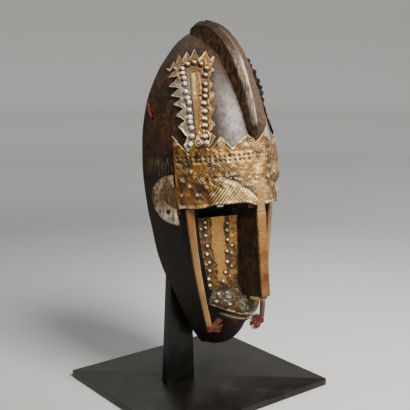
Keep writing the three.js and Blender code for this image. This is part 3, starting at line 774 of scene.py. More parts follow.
def ear_rows(side):
    """Sections round half an ellipse: each runs from the outer rim over to the inner edge."""
    angle = np.pi * np.linspace(0.5, 1.5, 80)[:, None]
    share = np.linspace(0, len(EAR_SECTION) - 1, 36)
    scale = through([(i, p[0]) for i, p in enumerate(EAR_SECTION)])(share)
    scale = 1 - (1 - scale) * follow(EAR_WIDTH, np.sin(angle))
    height = np.interp(share, range(len(EAR_SECTION)), [p[1] for p in EAR_SECTION])
    w = EAR["w"] + EAR["deep"] * scale * np.cos(angle)
    v = EAR["v"] + EAR["tall"] * scale * np.sin(angle)
    noise = 0.5 * rumple(np.stack([w, v, 0 * w], -1), 6, 8)
    u = side_wall(w, v) + height + np.where(height > 0, noise, 0)
    return np.stack([side * u, w, v], -1)


# %% [markdown]
# The back of the mask is scooped out to a wall of about ten millimetres. A wall of even
# thickness would look pressed from sheet, so the hollow is a solid of its own, a little uneven
# from the gouge. It is cut out of the rest together with the eye slots under the brow, the
# notches for the slats and the small holes for laces.

# %% Hollow and holes
HOLLOW_ROWS = [
    (17, 9, 15), (30, 17, 27), (45, 24, 34), (62, 31, 38), (82, 40, 42), (102, 48.5, 44), (126, 55.5, 46),
    (150, 59, 47), (164, 61, 49), (173, 62.5, 60), (181, 64, 78),
]
HOLLOW_DOME = {"across": 0.869, "forward": 0.895, "up": 0.945}
HOLLOW_DOME_ROWS = [208, 222, 236, 252, 268, 282, 296, 310, 322, 334, 345, 355, 363, 369]
HOLLOW_POWER = 2.1
HOLLOW_BACK = -6
HOLLOW_FOOT = 12
HOLLOW_CROWN = 361
# the slot under the brow as (u, w) corners, the slit that goes through from it, and the
# notch in which the top of a slat stands
EYE_SLOT = {"corners": [(14, 68), (49, 55), (49, 120), (14, 120)], "bottom": 163.6, "top": 178}
EYE_SLIT = {"corners": [(4, 53), (18, 72), (29, 73), (13, 53)], "bottom": 170, "top": 177}
SLAT_NOTCH = {"corners": [(48, 55), (68, 55), (68, 120), (48, 120)], "bottom": 169, "top": 175.4}
LACE_HOLE = {"row": 274.7, "turn": 0.89, "radius": 1.9}


def hollow_profiles():
    """Half width, depth and lift of the hollow over its height."""
    rows = [(v, half, depth, 0) for v, half, depth in HOLLOW_ROWS]
    for row in HOLLOW_DOME_ROWS:
        v = PIVOT_V + (row - PIVOT_V) * HOLLOW_DOME["up"]
        half, depth = HALF_WIDTH(row) * HOLLOW_DOME["across"], DOME_DEPTH(row) * HOLLOW_DOME["forward"]
        rows.append((v, half, depth, DOME_LIFT(row) * HOLLOW_DOME["up"]))
    return [through([(r[0], r[k]) for r in rows]) for k in (1, 2, 3)]


hollow_half, hollow_depth, hollow_lift = hollow_profiles()


def hollow_rows():
    """Rounded rectangles in plan, one above the other, that run out behind the rim."""
    v = np.linspace(17, 359, 120)[:, None]
    angle = np.linspace(-0.5, 0.5, 83) * np.pi
    across = np.sign(angle) * np.abs(np.sin(angle)) ** (2 / HOLLOW_POWER)
    forward = np.maximum(np.cos(angle), 0) ** (2 / HOLLOW_POWER)
    u, w = hollow_half(v) * across, hollow_depth(v) * forward
    grid = np.stack([u, w, v + hollow_lift(v) * forward], -1)
    gouge = rumple(grid * (0.5, 0.5, 0.25), 3.4, 9)
    grid = raised(grid, (0.7 * gouge + 0.5 * rumple(grid, 14, 10)) * forward)
    left, right = grid[:, :1] * (1, 0, 1), grid[:, -1:] * (1, 0, 1)
    behind = np.array([0, HOLLOW_BACK, 0])
    return np.concatenate([left + behind, grid, right + behind], axis=1)


def slot_rows(side, corners, bottom, top):
    """An upright prism as two loops of (u, w) corners, for cutting."""
    return np.array([[(side * u, w, v) for u, w in corners] for v in (bottom, top)], float)


# %% Rods along paths
def square_to(path, level):
    """Two unit vectors at each point of a path, square to it and to each other."""
    along = np.gradient(path, axis=0)
    along /= np.linalg.norm(along, axis=-1, keepdims=True)
    side = np.cross(along, level)
    side /= np.linalg.norm(side, axis=-1, keepdims=True)
    return side, np.cross(side, along)


def tube(path, radius, sides, level=(0, 0, 1)):
    """Loops of a round rod: circles about the points of a path, square to it."""
    side, other = square_to(path, level)
    radius = np.broadcast_to(radius, len(path))[:, None, None]
    angle = np.linspace(0, 2 * np.pi, sides, endpoint=False)[:, None]
    return path[:, None] + radius * (np.cos(angle) * side[:, None] + np.sin(angle) * other[:, None])


def lace_hole(side):
    """Loops of a short rod through the wall of the dome."""
    middle = dome(np.array(LACE_HOLE["row"]), np.array(side * LACE_HOLE["turn"]))
    inside = middle * (0.72, 0.72, 1)
    outside = middle + (middle - inside) * 0.4
    return tube(mix(inside, outside, np.linspace(0, 1, 5)[:, None]), LACE_HOLE["radius"], 16)


def ear_hole(side):
    """Loops of a rod across the side wall, in the lobe of the ear."""
    path = np.array([(side * u, EAR_HOLE["w"], EAR_HOLE["v"]) for u in np.linspace(54, 82, 5)])
    return tube(path, EAR_HOLE["radius"], 16)


# %% Joining and cutting
scoop = loft(hollow_rows(), (0, HOLLOW_BACK, HOLLOW_FOOT), (0, HOLLOW_BACK, HOLLOW_CROWN))
carving = [("UNION", loft(crest_rows(), (0, 104, 240), (0, 5, 366))), ("UNION", loft(nose_rows()))]
carving += [("UNION", loft(ear_rows(side))) for side in (-1, 1)]
carving += [("DIFFERENCE", scoop)]
for side in (-1, 1):
    holes = [slot_rows(side, **slot) for slot in (EYE_SLOT, EYE_SLIT, SLAT_NOTCH)]
    carving += [("DIFFERENCE", loft(loops)) for loops in (*holes, lace_hole(side), ear_hole(side))]
cut(body, [(operation, build(f"carving_{i}", part)) for i, (operation, part) in enumerate(carving)])
print("body:", len(body.data.vertices), "points")

# %% [markdown]
# Old wood shows where hands have polished it. Numbers for each vertex say where it lies:
# in the hollow, on the keel's facets and ridge, on the polished forehead, on the reddish flanks.
# They are worked out from the place of each vertex, so they follow the carving. Some of them
# carry painted light: a lit and a shaded facet and a highlight along the ridge of the keel, a
# sheen on the polished forehead, and shade low on the side walls, under the brow and round the
# ear holes.

# %% Layers of the keel and the ears
CREST_MIDDLE = (20, 245)
CREST_FROM = 243


def reach_of(path, angle):
    """Distance from the keel's middle to a path of (w, v) points, in each direction."""
    offset = np.array(path) - CREST_MIDDLE
    polar = zip(np.arctan2(offset[:, 1], offset[:, 0]), np.hypot(offset[:, 0], offset[:, 1]))
    return follow(sorted(polar), angle)


def crest_layers(at, outside):
    """The keel's sides, and on its top a left facet painted lit, a right facet painted shaded and a
    painted highlight along the ridge between them.
    """
    u, w, v = np.moveaxis(at, -1, 0)
    angle = np.arctan2(v - CREST_MIDDLE[1], w - CREST_MIDDLE[0])
    reach = np.hypot(v - CREST_MIDDLE[1], w - CREST_MIDDLE[0])
    ridge, foot = reach_of(CREST_RIDGE, angle), reach_of(CREST_FOOT, angle)
    rise = (reach - foot) / np.maximum(ridge - foot, 1)
    on_crest = (np.abs(u) < 9.6) & (rise > 0.12) & (v > CREST_FROM) & outside
    half, ridge_u = max(CREST_HALF), arris_at(v)
    left_edge = mix(0.8, 1, (u + half) / (ridge_u + half))
    right_edge = mix(1, 0.92, (u - ridge_u) / (half - ridge_u))
    above = rise - np.where(u < ridge_u, left_edge, right_edge)
    top = on_crest * smooth(-0.09, -0.03, above) * fall(366, 380, v)
    # where the painted highlight along the ridge shows: broken by noise, fading out towards the brow and
    # the crown
    worn = smooth(256, 276, v) * smooth(-0.9, 0, rumple(at, 10, 12)) * (1 - 0.85 * smooth(328, 342, v))
    # the left facet is painted lit and the right one shaded, both fading towards the crown
    left = fall(-1.4, -0.5, u - ridge_u) * (1 - 0.85 * smooth(328, 356, v))
    right = smooth(0.4, 1.5, u - ridge_u) * (1 - 0.7 * smooth(340, 368, v))
    side = on_crest * fall(-0.1, -0.04, above) * fall(370, 380, v)
    arris_highlight = top * hump(u - ridge_u, 0.85) * worn
    layers = {"arris_highlight": arris_highlight, "facet_left_lit": top * left, "facet_right_shaded": top * right, "keel_side": side}
    return on_crest, layers


def ear_layers(at, outside):
    """The worn slope of each ear, its darker rim and the pit inside the letter C."""
    u, w, v = np.moveaxis(at, -1, 0)
    around = np.hypot((w - EAR["w"]) / EAR["deep"], (v - EAR["v"]) / EAR["tall"])
    proud = np.abs(u) - side_wall(np.clip(w, 0, EAR["w"]), v)
    on_ear = (proud > 1) * (w < 51) * (around < 1.04)
    up = (v - EAR["v"]) / EAR["tall"] / np.maximum(around, 0.1)
    broad = 1 - (1 - around) / follow(EAR_WIDTH, up)
    high = smooth(-18, -2, v - EAR["v"])
    worn = mix(hump(broad - 0.72, 0.26), hump(broad - 0.8, 0.2), high)
    worn = worn * np.interp(up, [-0.7, 0, 0.6], [1, 0.4, 1])
    pit = (proud > -2) * (w < 52) * fall(0.5, 0.62, around) * outside
    rim = on_ear * smooth(0.9, 0.96, around)
    return on_ear, {"ear": worn * on_ear, "high": high * on_ear, "ear_rim": rim, "ear_pit": pit}


# %% Layers of the whole body
def in_hollow(u, w, v):
    """True for the vertices that lie on the wall of the hollow."""
    level = v - hollow_lift(v) * 0.9
    across = (np.abs(u) / np.maximum(hollow_half(level), 1)) ** HOLLOW_POWER
    forward = (np.maximum(w, 0) / np.maximum(hollow_depth(level), 1)) ** HOLLOW_POWER
    return (across + forward < 1.12) & (w > -1) & (v > 8)


def in_shade(u, w, v):
    """The wood of the eye slots, under the brow and behind the sheet."""
    under = smooth(156, 163, v) * fall(178.5, 179, v) * smooth(48, 56, w) * (np.abs(u) < 68)
    return under * np.where(v > BROW_V, w < DOME_DEPTH(np.maximum(v, BROW_V)) * 0.82, 1)


def body_layers():
    """Where each vertex of the body lies, as numbers from 0 to 1."""
    at = vertex_places(body)
    u, w, v = np.moveaxis(at, -1, 0)
    row, turn = dome_place(at)
    inside = in_hollow(u, w, v)
    on_crest, crest = crest_layers(at, ~inside)
    on_ear, ear = ear_layers(at, ~inside)
    # polish and painted sheen: a pale grey reflection painted on the forehead either side of the keel
    polish_and_sheen = hump(row - 264, 31) * hump(np.abs(turn) - 0.18, 0.1) * ~on_crest
    patches = smooth(0.4, 0.75, 0.5 + 0.5 * rumple(at, 9, 11))
    red = smooth(0.6, 0.75, np.abs(turn)) * smooth(225, 250, row) * fall(318, 345, row) * patches
    lip_v = 42.4 + MOUTH_RISE * np.maximum(0, 1 - np.abs(v - MOUTH_V) / MOUTH_REACH) * (u / 30) ** 2
    lip = hump(v - lip_v, 1.6) * (np.abs(u) < 26) * smooth(55, 68, w)
    dark_hole = on_ear * fall(1.9, 3.4, np.hypot(w - EAR_HOLE["w"], v - EAR_HOLE["v"]))
    # painted shade: the low side walls are darkened almost to black, less on the ears
    low_wall_shade = smooth(-7, 3, w) * fall(206, 226, v) * (w < 66)
    low_wall_shade = low_wall_shade * (1 - on_ear * 0.85) * (1 - 0.9 * ear["ear_pit"])
    scratched = smooth(209, 212, v) * fall(231, 232.5, v) * smooth(2, 8, w) * fall(48, 53, w)
    seen = {"polish_and_sheen": polish_and_sheen, "red": red, "lip": lip, "low_wall_shade": low_wall_shade, "scratched": scratched}
    seen = {name: values * ~inside for name, values in seen.items()}
    shade = np.maximum(in_shade(u, w, v) * ~inside, dark_hole)
    return {"inside": inside, "shade": shade, **seen, **crest, **ear}


paint(body, **body_layers())

# %% [markdown]
# The finish of the wood is noises of several sizes: wide clouds, blotches, patches and a grain
# drawn out upwards. Each coat of colour is mixed over the one before where its noise or its
# layer is high. A picture wrapped round the mask would show seams, and these have none.

# %% Finish of the wood
def wood_finish():
    """Smoked, oiled wood: dark, blotched, with a fine upright grain, polished parts under a painted
    sheen, and painted light and shade on the keel and low on the walls.
    """
    wood = Finish("smoked wood")
    broad = wood.noise(38, 4)
    blotch = wood.noise(130, 5, roughness=0.7)
    patch = wood.noise(300, 4, stretch=(1, 1, 0.5), roughness=0.65)
    grain = wood.noise(900, 4, stretch=(1, 1, 0.07), roughness=0.6)
    speck = wood.noise(1500, 2)
    streak = grain * 0.5 + patch * 0.5
    scraped = (grain * 0.6 + blotch * 0.4).step(0.48, 0.6)
    # how much of the painted sheen shows on the polished forehead
    sheen = 0.35 + (blotch * 0.5 + patch * 0.2 + grain * 0.3).step(0.4, 0.54) * 0.65
    # one wood in a lit and a shaded colour, for the keel's two facets
    facet_left_lit = wood.blend(streak.step(0.4, 0.6), (60, 42, 30), (188, 160, 140))
    facet_right_shaded = wood.blend(streak.step(0.4, 0.6), (34, 24, 15), (104, 78, 54))
    pit = wood.blend(grain.step(0.4, 0.6), (84, 60, 34), (156, 122, 80))
    lobe = wood.blend((patch * 0.6 + blotch * 0.4).step(0.38, 0.56), (96, 74, 54), (232, 214, 190))
    ear = wood.blend(patch.step(0.4, 0.6), (96, 72, 50), (212, 184, 148))
    lip = wood.blend(patch.step(0.35, 0.55), (150, 112, 80), (244, 212, 180))
    # each coat lies over those before it: where it shows, and its colour
    colour = wood.blend(broad.step(0.35, 0.7), (30, 16, 6), (72, 46, 19))
    for cover, tone in (
        (blotch.step(0.5, 0.7) * 0.55, (122, 84, 42)),
        (patch.step(0.46, 0.6) * 0.7, (16, 10, 4)),
        (grain.step(0.48, 0.62) * 0.65, (14, 8, 3)),
        (wood.layer("red") * grain.step(0.6, 0.44) * 0.7, (98, 54, 22)),
        (wood.layer("keel_side") * scraped * 0.7, (140, 108, 78)),
        (wood.layer("scratched") * grain.step(0.54, 0.6) * 0.8, (146, 124, 92)),
        # painted shade low on the side walls
        (wood.layer("low_wall_shade") * 0.72, (7, 4, 0)),
        # painted sheen: a pale grey reflection on the polished forehead
        (wood.layer("polish_and_sheen") * sheen, (172, 166, 160)),
        # painted light on the keel: lit left facet, shaded right facet, highlight on the ridge
        (wood.layer("facet_left_lit") * 0.85, facet_left_lit),
        (wood.layer("facet_right_shaded") * 0.85, facet_right_shaded),
        (wood.layer("arris_highlight"), (255, 236, 210)),
        (wood.layer("ear_pit") * 0.75, pit),
        (wood.layer("ear") * 0.9, wood.blend(wood.layer("high"), lobe, ear)),
        (wood.layer("ear_rim") * 0.7, (104, 56, 34)),
        (wood.layer("lip") * 0.95, lip),
        (wood.layer("inside"), wood.blend(grain, (52, 36, 22), (98, 72, 46))),
        (speck.step(0.6, 0.75) * 0.5, (18, 12, 8)),
        (wood.layer("shade") * 0.9, (7, 5, 3)),
    ):
        colour = wood.blend(cover, colour, tone)
    rough = 0.42 + blotch * 0.3 - wood.layer("polish_and_sheen") * 0.16 + wood.layer("inside") * 0.35
    height = grain * 0.4 + blotch * 0.5 + patch * 0.5 + speck * 0.12
    return wood.shade(
        Base_Color=colour, Roughness=rough.clamp(0.2, 0.95), Specular_IOR_Level=0.28,
        Normal=wood.bump(height, 0.0016),
    )


finish_piece(body, wood_finish(), ["mask_body"])

# %% [markdown]
# ## Sheet metal
# The brass is thin, hammered from behind and nailed on, so its front is a smooth surface with
# a height pattern: bosses, rings, punched dots and parallel strokes. Each pattern is a
# function of the distance to a few points or lines on the mask. The grooves keep dirt, so
# the same height gives a layer for the dirt, which also carries painted shade on slopes turned
# away from the light. Other layers say where the metal is golden, coppery or silvery, and where
# it is pale, from rubbing and from painted highlights on slopes turned to the light.

# %% Embossing helpers
SHEET_GAP = 0.3
SHEET_THICKNESS = 1


def dome_path(points, steps=6):
    """Points of the dome along (row, turn) corners, with steps between two corners."""
    points = np.array(points, float)
    knot = np.arange(len(points))
    t = np.linspace(0, len(points) - 1, steps * (len(points) - 1) + 1)
    return dome(np.interp(t, knot, points[:, 0]), np.interp(t, knot, points[:, 1]))


def stamped(distance, radius, height):
    """Round boss: a cap of a sphere with a soft foot."""
    cap = np.sqrt(np.clip(1 - (distance / radius) ** 2, 0, 1))
    return height * (0.8 * cap + 0.2 * hump(distance, radius))


def ripple(x, pitch, shift=0):
    """Wave from 0 to 1 that is 1 at every pitch."""
    return 0.5 + 0.5 * np.cos(2 * np.pi * x / pitch + shift)


def strokes(distance, pitch, count, depth):
    """Grooves beside a line and on it, count of them to each side."""
    reach = (count + 0.5) * pitch
    return -depth * ripple(distance, pitch) * (distance < reach)


def embossed(base, height, gap=SHEET_GAP):
    """A closed sheet over a grid of the wood, whose front is lifted by a height pattern."""
    front = gap + SHEET_THICKNESS + height
    back = np.minimum(gap + 0.9 * np.maximum(height, 0), front - 0.3)
    return sheet(raised(base, front), raised(base, back))


def hollows(height, steps=24):
    """How deep each point lies below its surroundings, in mm."""
    return soften(height, steps) - height


# direction of the light for which highlights and shade are painted on the sheets
PAINTED_LIGHT_FROM = np.array([0.3, 0.3, 0.9])


def facing(grid, height):
    """How much more a point of the relief faces up to the light than the sheet around it; the sheets
    paint highlights and shade from it.
    """
    return (outward(raised(grid, height)) - outward(grid)) @ PAINTED_LIGHT_FROM


def edge_paths(grid):
    """The four edges of a grid."""
    return [grid[0], grid[-1], grid[:, 0], grid[:, -1]]


# %% [markdown]
# One finish serves all the sheets. Old brass is never one colour, so its tints are layers that
# each piece paints where it needs them. Dirt and painted shade darken the metal and take away
# its shine, and rubbing and painted highlights make it pale.

# %% Finish of the sheet metal
# each tint of the metal: its name, where its mottling starts, its dark tone and its light one
SHEET_TINTS = [
    ("gold", 0.3, (120, 72, 18), (220, 156, 58)),
    ("copper", 0.3, (100, 48, 26), (186, 106, 62)),
    ("silver", 0.3, (176, 162, 134), (255, 248, 228)),
    ("cream", 0.25, (172, 118, 58), (255, 212, 142)),
]
SHEET_LAYERS = [entry[0] for entry in SHEET_TINTS] + ["grime", "pale", "near_black"]


def sheet_finish(name, ground, deep, pale_strength=0.5):
    """Old sheet metal: ground and deep are its two tones, and painted layers tint it."""
    metal = Finish(name)
    cloud = metal.noise(70, 4)
    mottle = metal.noise(420, 4, roughness=0.65)
    speck = metal.noise(1700, 2)
    colour = metal.blend(cloud.step(0.3, 0.7), ground, deep)
    for layer, low, dark, light in SHEET_TINTS:
        colour = metal.blend(metal.layer(layer), colour, metal.blend(mottle.step(low, 0.7), dark, light))
    dirt_and_shade = metal.layer("grime") * mottle.step(0.1, 0.5)
    pale, near_black = metal.layer("pale"), metal.layer("near_black")
    pale_tone = metal.blend(metal.layer("silver"), (255, 230, 176), (250, 244, 228))
    colour = metal.blend(mottle.step(0.54, 0.66) * 0.6, colour, (72, 48, 24))
    # dirt and painted shade darken the metal
    colour = metal.blend(dirt_and_shade * 0.94, colour, (30, 20, 11))
    # the pale layer: metal worn bright by rubbing, and painted highlights
    colour = metal.blend(pale * pale_strength, colour, pale_tone)
    # near black where its layer is high: the right plate beside the keel and the groove round the nail's
    # head
    colour = metal.blend(near_black, colour, (10, 7, 4))
    rough = 0.21 + mottle * 0.2 + dirt_and_shade * 0.4 + near_black * 0.6
    metallic = 0.88 - dirt_and_shade * 0.75 - near_black * 0.9 - pale * 0.35
    return metal.shade(
        Base_Color=colour, Roughness=rough.clamp(0.15, 0.95), Metallic=metallic.clamp(0, 1),
        Normal=metal.bump(mottle * 0.6 + speck * 0.2, 0.0013),
    )


brass = sheet_finish("old brass sheet", (190, 144, 80), (104, 72, 36), 0.8)
copper = sheet_finish("old copper sheet", (190, 130, 84), (126, 80, 48))


def tint(piece, **layers):
    """Paints the layers that the sheet finish reads, and leaves those not given at nought."""
    for name in SHEET_LAYERS:
        paint(piece, **{name: both(layers.get(name, 0 * layers["grime"]))})


# %% [markdown]
# The brow band runs over the forehead from ear to ear. Its upper edge is cut in long teeth
# with a ring in each, two rows of punched dots run below them, then zigzags of parallel
# strokes, and at the bottom a swollen strip of slanting strokes, over which the sheet is
# folded down towards the nose. The strokes catch the light one by one, so they are real
# relief on a fine grid, and not only bump.

# %% Brow band: its place
BAND = {"lower": 174.5, "hitch": 4.4, "gap": 0.6, "end": 0.7, "rows": 108, "columns": 421}
# the toothed upper edge and the line of the fold, as (turn, row)
BAND_EDGE = [
    (0, 243), (0.09, 250), (0.235, 238), (0.32, 250), (0.425, 237.5), (0.5, 252), (0.58, 234), (0.7, 254),
]
BAND_FOLD = [
    (-0.44, 204), (-0.36, 207.9), (-0.304, 207.9), (-0.25, 205.9), (-0.192, 201.5), (-0.132, 195.9),
    (-0.086, 191.5), (-0.056, 187.5), (-0.02, 182),
]
RING_CENTRES = [
    (245, -0.67), (244.5, -0.496), (242.6, -0.326), (244, -0.06), (236.5, 0.06), (243, 0.33),
    (244.5, 0.5), (245, 0.67),
]
# rows of dots as (row, from turn, to turn, pitch in mm)
DEEP_DOTS = [(229.6, -0.675, -0.075, 5.4), (225.2, -0.672, -0.08, 5.4)]
FAINT_DOTS = [
    (229.8, -0.05, 0.3, 4.6), (226.2, -0.05, 0.3, 4.6),
    (229.6, 0.32, 0.68, 5.4), (225.2, 0.32, 0.68, 5.4),
]
# zigzags as their corners and the count of strokes to each side
ZIGZAGS = [
    ([
        (208.3, -0.482), (217.1, -0.428), (219.1, -0.378), (209.9, -0.32), (217.9, -0.244),
        (222.2, -0.19), (215, -0.134), (207, -0.08), (214.7, -0.036), (222.6, 0.022), (230, 0.094),
    ], 2),
    ([
        (230, 0.094), (221, 0.118), (210, 0.17), (221, 0.27), (210, 0.37), (221, 0.47), (210, 0.57),
        (219, 0.66),
    ], 1),
    ([(217, -0.68), (208, -0.63), (218, -0.585), (212.5, -0.54)], 1),
]
BAND_BOSSES = [
    (205, -0.104), (204.3, -0.034), (204.3, 0.1), (199, -0.59), (215, -0.576), (189, -0.54),
    (203.5, -0.392), (197.5, -0.464), (189, -0.664), (202.7, -0.308), (207, 0.22), (204, 0.56),
]
NAIL = {"row": 233.5, "turn": -0.5}


def band_place():
    """Row and turn of the band's grid: straight at the bottom, toothed at the top."""
    turn = np.linspace(-BAND["end"], BAND["end"], BAND["columns"])
    lower = BAND["lower"] + BAND["hitch"] * smooth(-0.55, -0.36, turn) * fall(-0.16, -0.02, turn)
    row = mix(lower, follow(BAND_EDGE, np.abs(turn)), np.linspace(0, 1, BAND["rows"])[:, None])
    return row, np.broadcast_to(turn, row.shape)


band_row, band_turn = band_place()
band_base = dome(band_row, band_turn)
step = np.linalg.norm(np.diff(dome(205 + 0 * band_turn[0], band_turn[0]), axis=0), axis=-1)
band_along = np.broadcast_to(np.concatenate([[0], np.cumsum(step)]), band_row.shape)
print("band:", round(float(band_along.max())), "mm along the brow")


# %% Brow band: rings, dots and strokes
def evenly(row, start, end, pitch):
    """Points of the dome at an even pitch along a row."""
    turns = np.linspace(start, end, 200)
    points = dome(row + 0 * turns, turns)
    length = np.concatenate([[0], np.cumsum(np.linalg.norm(np.diff(points, axis=0), axis=-1))])
    at = np.arange(0, length[-1] + 0.01, pitch)
    return dome(row + 0 * at, np.interp(at, length, turns))


def near_marks(grid):
    """Distance from each point of the band to the nearest mark of each kind."""
    marks = {
        "ring": dome_path(RING_CENTRES, 1), "boss": dome_path(BAND_BOSSES, 1),
        "deep": np.concatenate([evenly(*dots) for dots in DEEP_DOTS]),
        "faint": np.concatenate([evenly(*dots) for dots in FAINT_DOTS]),
        "nail": dome(np.array([NAIL["row"]]), np.array([NAIL["turn"]])),
    }
    return {name: point_distance(grid, places) for name, places in marks.items()}


def band_marks(near, grid, row, turn, along):
    """Height of the upper part: hammered ground, rings, rows of dots, two lines and zigzags."""
    height = 1.3 * rumple(grid, 13, 21) + 0.95 * rumple(grid, 5, 22) + 0.35 * rumple(grid, 2.4, 26)
    height += 0.45 * hump(line_distance(grid, grid[-1]) - 1.3, 0.8)
    height += 0.75 * hump(near["ring"] - 3.1, 0.8) - 0.5 * hump(near["ring"] - 2, 0.5)
    height += stamped(near["ring"], 1.7, 0.9) + stamped(near["boss"], 2.4, 1.6)
    height -= 1.2 * hump(near["deep"], 1.3) + 0.6 * hump(near["faint"], 1.1)
    fine = smooth(-0.7, -0.66, turn) * fall(0.1, 0.2, turn)
    for line in (232.6, 222.3):
        height += 0.22 * hump(row - line - 0.3 * np.sin(along / 9), 0.8) * mix(0.45, 1, fine)
    pressed = mix(0.35, 1, smooth(-0.5, 0.2, rumple(grid, 12, 37)))
    for path, count in ZIGZAGS:
        height += strokes(line_distance(grid, dome_path(path)), 2.3, count, 0.8) * pressed
    return height


# %% Brow band: the fold and the hatching
FOLD_FOOT = 178
HATCH_PITCH = 2.8
HATCH_SLANT = math.radians(50)


def band_fold(grid, row, turn, along):
    """Parts of the band's lower half, each with the share of it that shows."""
    fold = follow(BAND_FOLD, turn)
    over = row - fold
    folded = smooth(-0.48, -0.42, turn) * fall(-0.04, 0, turn)
    swell = np.clip((row - FOLD_FOOT) / np.maximum(fold - FOLD_FOOT, 3), 0, 1)
    reach = mix(0.66, 0.93, smooth(-0.3, -0.12, turn))
    above = smooth(reach - 0.1, reach, swell)
    foot = smooth(FOLD_FOOT, FOLD_FOOT + 2, row)
    slant = along * math.sin(HATCH_SLANT) - row * math.cos(HATCH_SLANT)
    beside = fall(-0.5, -0.44, turn) * fall(192, 196, row)
    beside = beside + smooth(-0.02, 0.04, turn) * fall(197, 200, row)
    return {
        "over": over, "folded": folded, "swell": swell, "above": above, "beside": beside * foot,
        "step": folded * smooth(-0.4, -0.2, turn), "hatched": folded * (1 - above) * foot,
        "frieze": folded * hump(over - 0.5, 5) * fall(-0.24, -0.16, turn),
        "hatch": ripple(slant, HATCH_PITCH, 0.9 * rumple(grid, 8, 23)),
    }


def fold_height(part, grid, row, turn):
    """Height of the lower half: a swelling under the fold, its hatching and a smooth lobe."""
    over, below = part["over"], part["over"] < 0
    crest = 1.7 * np.exp(-np.maximum(over, 0) / 5) * smooth(-2.2, 1.6, over)
    height = part["step"] * (crest - 0.9 * hump(over + 1.8, 2.2))
    height += part["folded"] * 2.6 * np.sin(np.pi * part["swell"]) ** 0.7 * below
    height += part["frieze"] * 1.2 * rumple(grid, 2.6, 38)
    height += part["folded"] * 0.9 * rumple(grid, 3, 29) * part["above"] * below
    height -= 1.15 * part["hatch"] ** 2.2 * part["hatched"] + 0.55 * part["hatch"] * part["beside"]
    lobe = smooth(0.16, 0.26, turn) * fall(0.6, 0.68, turn)
    height += lobe * (0.7 * hump(row - 204, 5) + 1.6 * hump(row - 187, 4) - 1.2 * hump(row - 195.5, 2.5))
    return height + 1.1 * hump(row - row[0] - 1.5, 1.5)


# %% Brow band: its dirt, its worn places and its painted light and shade
def band_grime(near, part, height, grid, row, turn):
    """Dirt in hollows and dots and more of it at both ends, darkening round the nail and along the fold,
    and painted shade on slopes turned away from the light.
    """
    old, right = fall(-0.48, -0.3, turn), smooth(0.02, 0.12, turn)
    grime = 1.3 * smooth(0.08, 0.7, hollows(height)) + hump(near["nail"] - 3.8, 0.9)
    grime += 1.3 * hump(near["deep"], 1.4) + 0.7 * hump(near["faint"], 1.1)
    grime += mix(0.35, 0.75, old) * smooth(0, 0.7, rumple(grid, 6, 24)) + 0.1 * old
    grime += 0.5 * smooth(0.2, 0.9, rumple(grid, 9, 28)) + 0.35 * smooth(0.1, 0.8, rumple(grid, 2.2, 27))
    grime += 0.15 * smooth(0.08, 0.2, turn) + 0.45 * right * fall(200, 210, row)
    grime += 0.7 * part["frieze"] * smooth(-0.1, 0.6, -rumple(grid, 2.6, 38))
    blown = mix(0.6, 1, smooth(-0.3, 0.3, rumple(grid, 4, 39)))
    grime += part["step"] * (0.9 * hump(part["over"] + 2, 3) + hump(part["over"] - 2, 6) * blown)
    grime *= 1 - 0.5 * part["hatched"] * smooth(-0.42, -0.3, turn)
    # painted shade on slopes turned away from the light
    return grime + 0.55 * smooth(0.08, 0.45, -facing(grid, height))


def band_rub_and_highlight(near, part, height, grid, turn):
    """Pale metal, worn bright and painted highlights: on what stands proud, along the teeth, between the
    strokes and on slopes turned to the light.
    """
    old = fall(-0.48, -0.3, turn)
    pale = smooth(0.12, 0.6, -hollows(height, 16)) * (1 - 0.35 * old)
    pale += 0.7 * hump(line_distance(grid, grid[-1]), 0.6)
    between = fall(0.25, 0.7, part["hatch"]) * smooth(-0.42, -0.3, turn)
    between = between * smooth(-0.5, 0.3, rumple(grid, 5, 30))
    pale *= 0.7 * (1 - 0.5 * hump(near["boss"], 2.4))
    # painted highlight on slopes turned to the light
    return pale + 0.3 * smooth(0.12, 0.5, facing(grid, height)) + 1.1 * part["hatched"] * between


# %% Brow band: the piece
def make_band():
    """The band's sheet, its dirt, its painted light and shade, and its tints: golden at the old left end,
    cream in front.
    """
    grid, row, turn = band_base, band_row, band_turn
    near, part = near_marks(grid), band_fold(grid, row, turn, band_along)
    height = band_marks(near, grid, row, turn, band_along) + fold_height(part, grid, row, turn)
    height *= mix(0.15, 1, smooth(-0.001, 0.02, BAND["end"] - np.abs(turn)))
    band = build("brow_sheet", embossed(grid, height, BAND["gap"]))
    cloud = 0.5 + 0.5 * rumple(grid, 11, 25)
    front = smooth(-0.42, -0.3, turn) * fall(0, 0.14, turn)
    tint(
        band,
        grime=band_grime(near, part, height, grid, row, turn),
        pale=band_rub_and_highlight(near, part, height, grid, turn),
        gold=fall(-0.5, -0.3, turn) * mix(0.4, 0.9, cloud),
        copper=smooth(0.45, 0.8, cloud) * fall(-0.45, -0.3, turn) * fall(205, 216, row) * 0.7,
        cream=front * np.maximum(mix(0.05, 0.6, cloud), 0.1 + fall(198, 206, row)),
        silver=fall(178, 184, row) * 0.9 * smooth(-0.3, -0.2, turn) * fall(-0.03, 0.04, turn),
    )
    finish_piece(band, brass, ["brow_band"])


make_band()

# %% [markdown]
# Either side of the keel sits a plate with toothed edges. Two columns of bosses, joined at
# the top, frame an upright strip with a crease across it, and the plate ends below in two
# rounded tails. The grid's edges are bent to the teeth, so that the outline is cut cleanly
# without any trimming. The right plate is the left one turned over.

